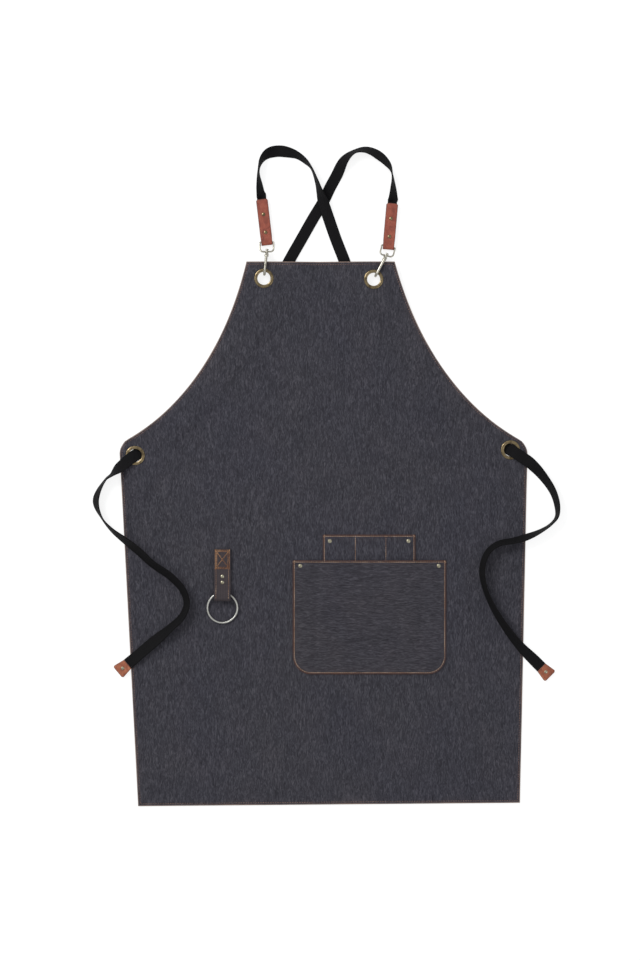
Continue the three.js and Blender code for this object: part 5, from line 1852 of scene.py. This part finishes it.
@dataclass
class Strap:
    """A webbing strap from its tab, under the panel and out through the far waist grommet."""

    shop: Workshop
    panel: Panel
    hanger: Hanger
    tip_z: float
    length: float
    width: float = 17.0
    thick: float = 1.6
    in_tab: float = 14.0
    in_grommet: float = 18.0
    tuck: float = 28.0
    tab_exit: float = 3.0
    climb: float = 8.0
    steps: int = 12
    tip_length: float = 19.0
    tip_neck: float = 16.6
    tip_end: float = 22.0
    tip_thick: float = 3.4

    def __post_init__(self) -> None:
        """Lays out the whole route and its smooth line."""
        side = self.hanger.side
        out, tail = ROUTES[side]
        far = "waist_right" if side is Side.LEFT else "waist_left"
        hole = next(g for g in self.panel.grommets if g.name == far)
        away = np.array(turn(self.hanger.tab_angle))
        z = self.hanger.tab_z - self.thick / 2
        tucked = [(*(self.hanger.tab_top + away * reach), z, 0, self.in_tab)
                  for reach in (-self.tuck, -self.tuck / 2, 0, self.tab_exit)]
        climb = np.array(tail[0][:2]) - np.array(out[-1][:2])
        climb = climb / np.linalg.norm(climb)
        over = hole.lift + self.panel.cloth + 2 * FIT + 0.9
        through = [(hole.x + climb[0] * s, hole.y + climb[1] * s, h, 0, w) for s, h, w in (
            (-self.climb, FLOOR, self.width), (0, (FLOOR + over) / 2, self.in_grommet),
            (self.climb, over, self.width))]
        points = [*tucked, *out, *through, *tail]
        self.first_hidden = len(tucked) + next(i for i, p in enumerate(out) if p[1] < 806)
        self.hidden = (self.first_hidden - 1, len(tucked) + len(out) + 1)
        roll = np.radians([p[3] for p in points])
        width = np.array([p[4] if len(p) > 4 else self.width for p in points])
        xyz = np.array([p[:3] for p in points], float)
        xyz[:, 2] += width / 2 * np.sin(roll) + self.thick / 2 * np.cos(roll)
        self.knots, self.ends = xyz, (xyz[-2], xyz[-1])
        self.line = spline(xyz, xyz, 0.5, self.steps)
        ones = np.arange(len(points), dtype=float)[:, None]
        self.roll = spline(ones, roll[:, None], 0, self.steps)[:, 0]
        self.half = spline(ones, width[:, None] / 2, 0, self.steps)[:, 0]

    def under_cloth(self) -> Points:
        """The stretch of the route that the panel lies on."""
        return self.knots[self.hidden[0]:self.hidden[1]]

    def build(self) -> None:
        """The webbing, its leather tip and the tip's rivet."""
        forward = np.gradient(self.line, axis=0)
        forward /= np.linalg.norm(forward, axis=1)[:, None]
        flat = np.cross([0.0, 0, 1], forward)
        flat /= np.linalg.norm(flat, axis=1)[:, None]
        normal = np.cross(forward, flat)
        c, s = np.cos(self.roll)[:, None], np.sin(self.roll)[:, None]
        across, up = flat * c + normal * s, normal * c - flat * s
        cup = 0.6 * ease(self.width / 2 - self.half, 0.1, 1.0)
        section = strip_section(self.thick, 0.72, 10)
        word, fin = self.hanger.side.word, self.shop.finishes
        shape = strip(self.line, across, up, self.half, section, 0.72, cup)
        tape = piece(f"{word}_strap_webbing", shape, fin.webbing,
                     [f"{word}_strap"])
        extras = self.build_tip()
        measured = length_of(self.line) * MM
        log.info("%s strap: %.3f m along its route", word, measured)

    def build_tip(self) -> list[bpy.types.Object]:
        """The flared leather tip with its rivet.

        Returns:
            The tip, the rivet's cap and its back.
        """
        before, last = self.ends
        angle = math.degrees(math.atan2(last[0] - before[0], last[1] - before[1]))
        where = at_place(last[0], last[1], self.tip_z, angle)
        ys = np.concatenate([[FIT, 1.0], np.linspace(2.5, self.tip_length - 3.2, 8),
                             self.tip_length - np.array([2.4, 1.6, 0.9, 0.4, 0.1, 0.0])])
        half = np.interp(ys, [0, self.tip_length - 2], [self.tip_neck / 2, self.tip_end / 2])
        corner = np.maximum(ys - (self.tip_length - 3.0), 0)
        half = half - (3.0 - np.sqrt(np.maximum(9.0 - corner ** 2, 0.25)))
        count = len(ys)
        crown = 0.12 * np.sin(np.linspace(0, math.pi, count))
        centre = np.stack([np.zeros(count), ys, self.tip_thick / 2 + crown], -1)
        shape = strip(centre, np.tile([1.0, 0, 0], (count, 1)), np.tile([0.0, 0, 1], (count, 1)),
                      half, strip_section(self.tip_thick, 0.7, 12), 0.7)
        word, fin = self.hanger.side.word, self.shop.finishes
        tip = piece(f"{word}_tip_leather", shape.moved(where), fin.tips, [f"{word}_tip"])
        seat = where @ Vector((0, self.tip_length / 2, self.tip_thick + 0.14))
        under = where @ Vector((0, self.tip_length / 2, 0.1))
        stem = f"{word}_tip_rivet_"
        cap = self.shop.set_parts(stem + "stud", stud_cap(2.5, 1.1), [seat], fin.stud,
                                  "antique_brass", [stem + "cap"])
        back = self.shop.set_parts(stem + "seat", stud_back(2.6), [under], fin.brass,
                                   "antique_brass", [stem + "back"])
        return [tip, cap, back]


# ---------------------------------------------------------------- scene


@dataclass
class Studio:
    """The pale floor, the soft light and the overhead camera."""

    height: float = 4.0
    view_width: float = 0.9459
    centre: tuple[float, float] = (-0.0053, 0.0333)
    sensor: float = 36.0
    floor_z: float = -0.0003

    def build_camera(self) -> None:
        """A camera that looks straight down on the apron."""
        data = bpy.data.cameras.new("overhead")
        data.sensor_fit = "HORIZONTAL"
        data.sensor_width = self.sensor
        data.lens = self.sensor * self.height / self.view_width
        camera = bpy.data.objects.new("overhead", data)
        camera.location = (*self.centre, self.height)
        bpy.context.scene.collection.objects.link(camera)
        bpy.context.scene.camera = camera

    def build_floor(self) -> None:
        """A wide matt floor, almost white."""
        mesh = bpy.data.meshes.new("floor")
        s, z = 14.0, self.floor_z
        mesh.from_pydata([(-s, -s, z), (s, -s, z), (s, s, z), (-s, s, z)], [], [(0, 1, 2, 3)])
        floor = bpy.data.objects.new("floor", mesh)
        bpy.context.scene.collection.objects.link(floor)
        recipe = Recipe("pale_floor")
        mottle = recipe.noise(recipe.spread((3, 3, 3)), 1.0, 2.0)
        colour = recipe.ramp(mottle, [(0.3, (0.28, 0.28, 0.28, 1)), (0.7, (0.3, 0.3, 0.3, 1))])
        mesh.materials.append(recipe.done(
            Base_Color=colour, Roughness=0.95, Specular_IOR_Level=0.1,
            Emission_Color=(1, 1, 1, 1), Emission_Strength=0.8))

    def build_light(self) -> None:
        """A near-white surround, a large soft key from the upper left and a weak fill."""
        world = bpy.data.worlds.new("studio")
        world.use_nodes = True
        background = world.node_tree.nodes["Background"]
        background.inputs["Color"].default_value = (0.98, 0.99, 1.0, 1)
        background.inputs["Strength"].default_value = 0.62
        bpy.context.scene.world = world
        for name, size, power, place in (
                ("key", 1.6, 62.0, (-1.9, 1.7, 2.3)), ("fill", 2.6, 16.0, (2.2, -1.2, 2.4))):
            data = bpy.data.lights.new(name, "AREA")
            data.shape, data.size, data.energy = "DISK", size, power
            light = bpy.data.objects.new(name, data)
            light.location = place
            light.rotation_mode = "QUATERNION"
            light.rotation_quaternion = (-Vector(place)).to_track_quat("-Z", "Y")
            light.visible_camera = False
            bpy.context.scene.collection.objects.link(light)
        bpy.context.scene.view_settings.view_transform = "Standard"


def dress_small_metal(finishes: Finishes) -> None:
    """Gives the gates, their pins and their springs the finish of their metal.

    Args:
        finishes: The finishes to dress them in.
    """
    for side in Side:
        for part in ("gate", "gate_pin", "gate_spring"):
            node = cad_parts[f"{side.word}_{part}"]
            metal = finishes.steel if "spring" in part else finishes.nickel
            node.material_slots[0].material = metal
            log.info("%s keeps its shape", node.name)


def main() -> None:
    """Builds the studio and then the apron, from its straps to its pockets."""
    logging.basicConfig(level=logging.INFO, format="%(name)s %(message)s")
    studio = Studio()
    studio.build_camera()
    shop = Workshop()
    panel = Panel(shop)
    hangers = [Hanger(shop, panel, Side.LEFT, 6.4, -1, -6.7),
               Hanger(shop, panel, Side.RIGHT, 28, 14, 5)]
    straps = [Strap(shop, panel, hangers[0], 1.2, 1.15),
              Strap(shop, panel, hangers[1], SKIRT, 1.14)]
    for strap in straps:
        strap.build()
    studio.build_floor()
    studio.build_light()
    panel.under_straps = [strap.under_cloth() for strap in straps]
    panel.build()
    pencil = Pocket(shop, panel, "pencil_pocket", -5.2, 136.6, 251, 150, 2.5, 0.5, 10.2, 9.3)
    pencil.dividers, pencil.grain = [pencil.x0 + 48, pencil.x0 + 93], Grain.UPRIGHT
    pencil.build()
    Pocket(shop, panel, "main_pocket", -50.5, 226.5, 195, 168, 27, 1.6, 11, 8, over=pencil).build()
    ToolLoop(shop, panel).build()
    for hanger in hangers:
        hanger.build()
    dress_small_metal(shop.finishes)


if __name__ == "__main__":
    main()
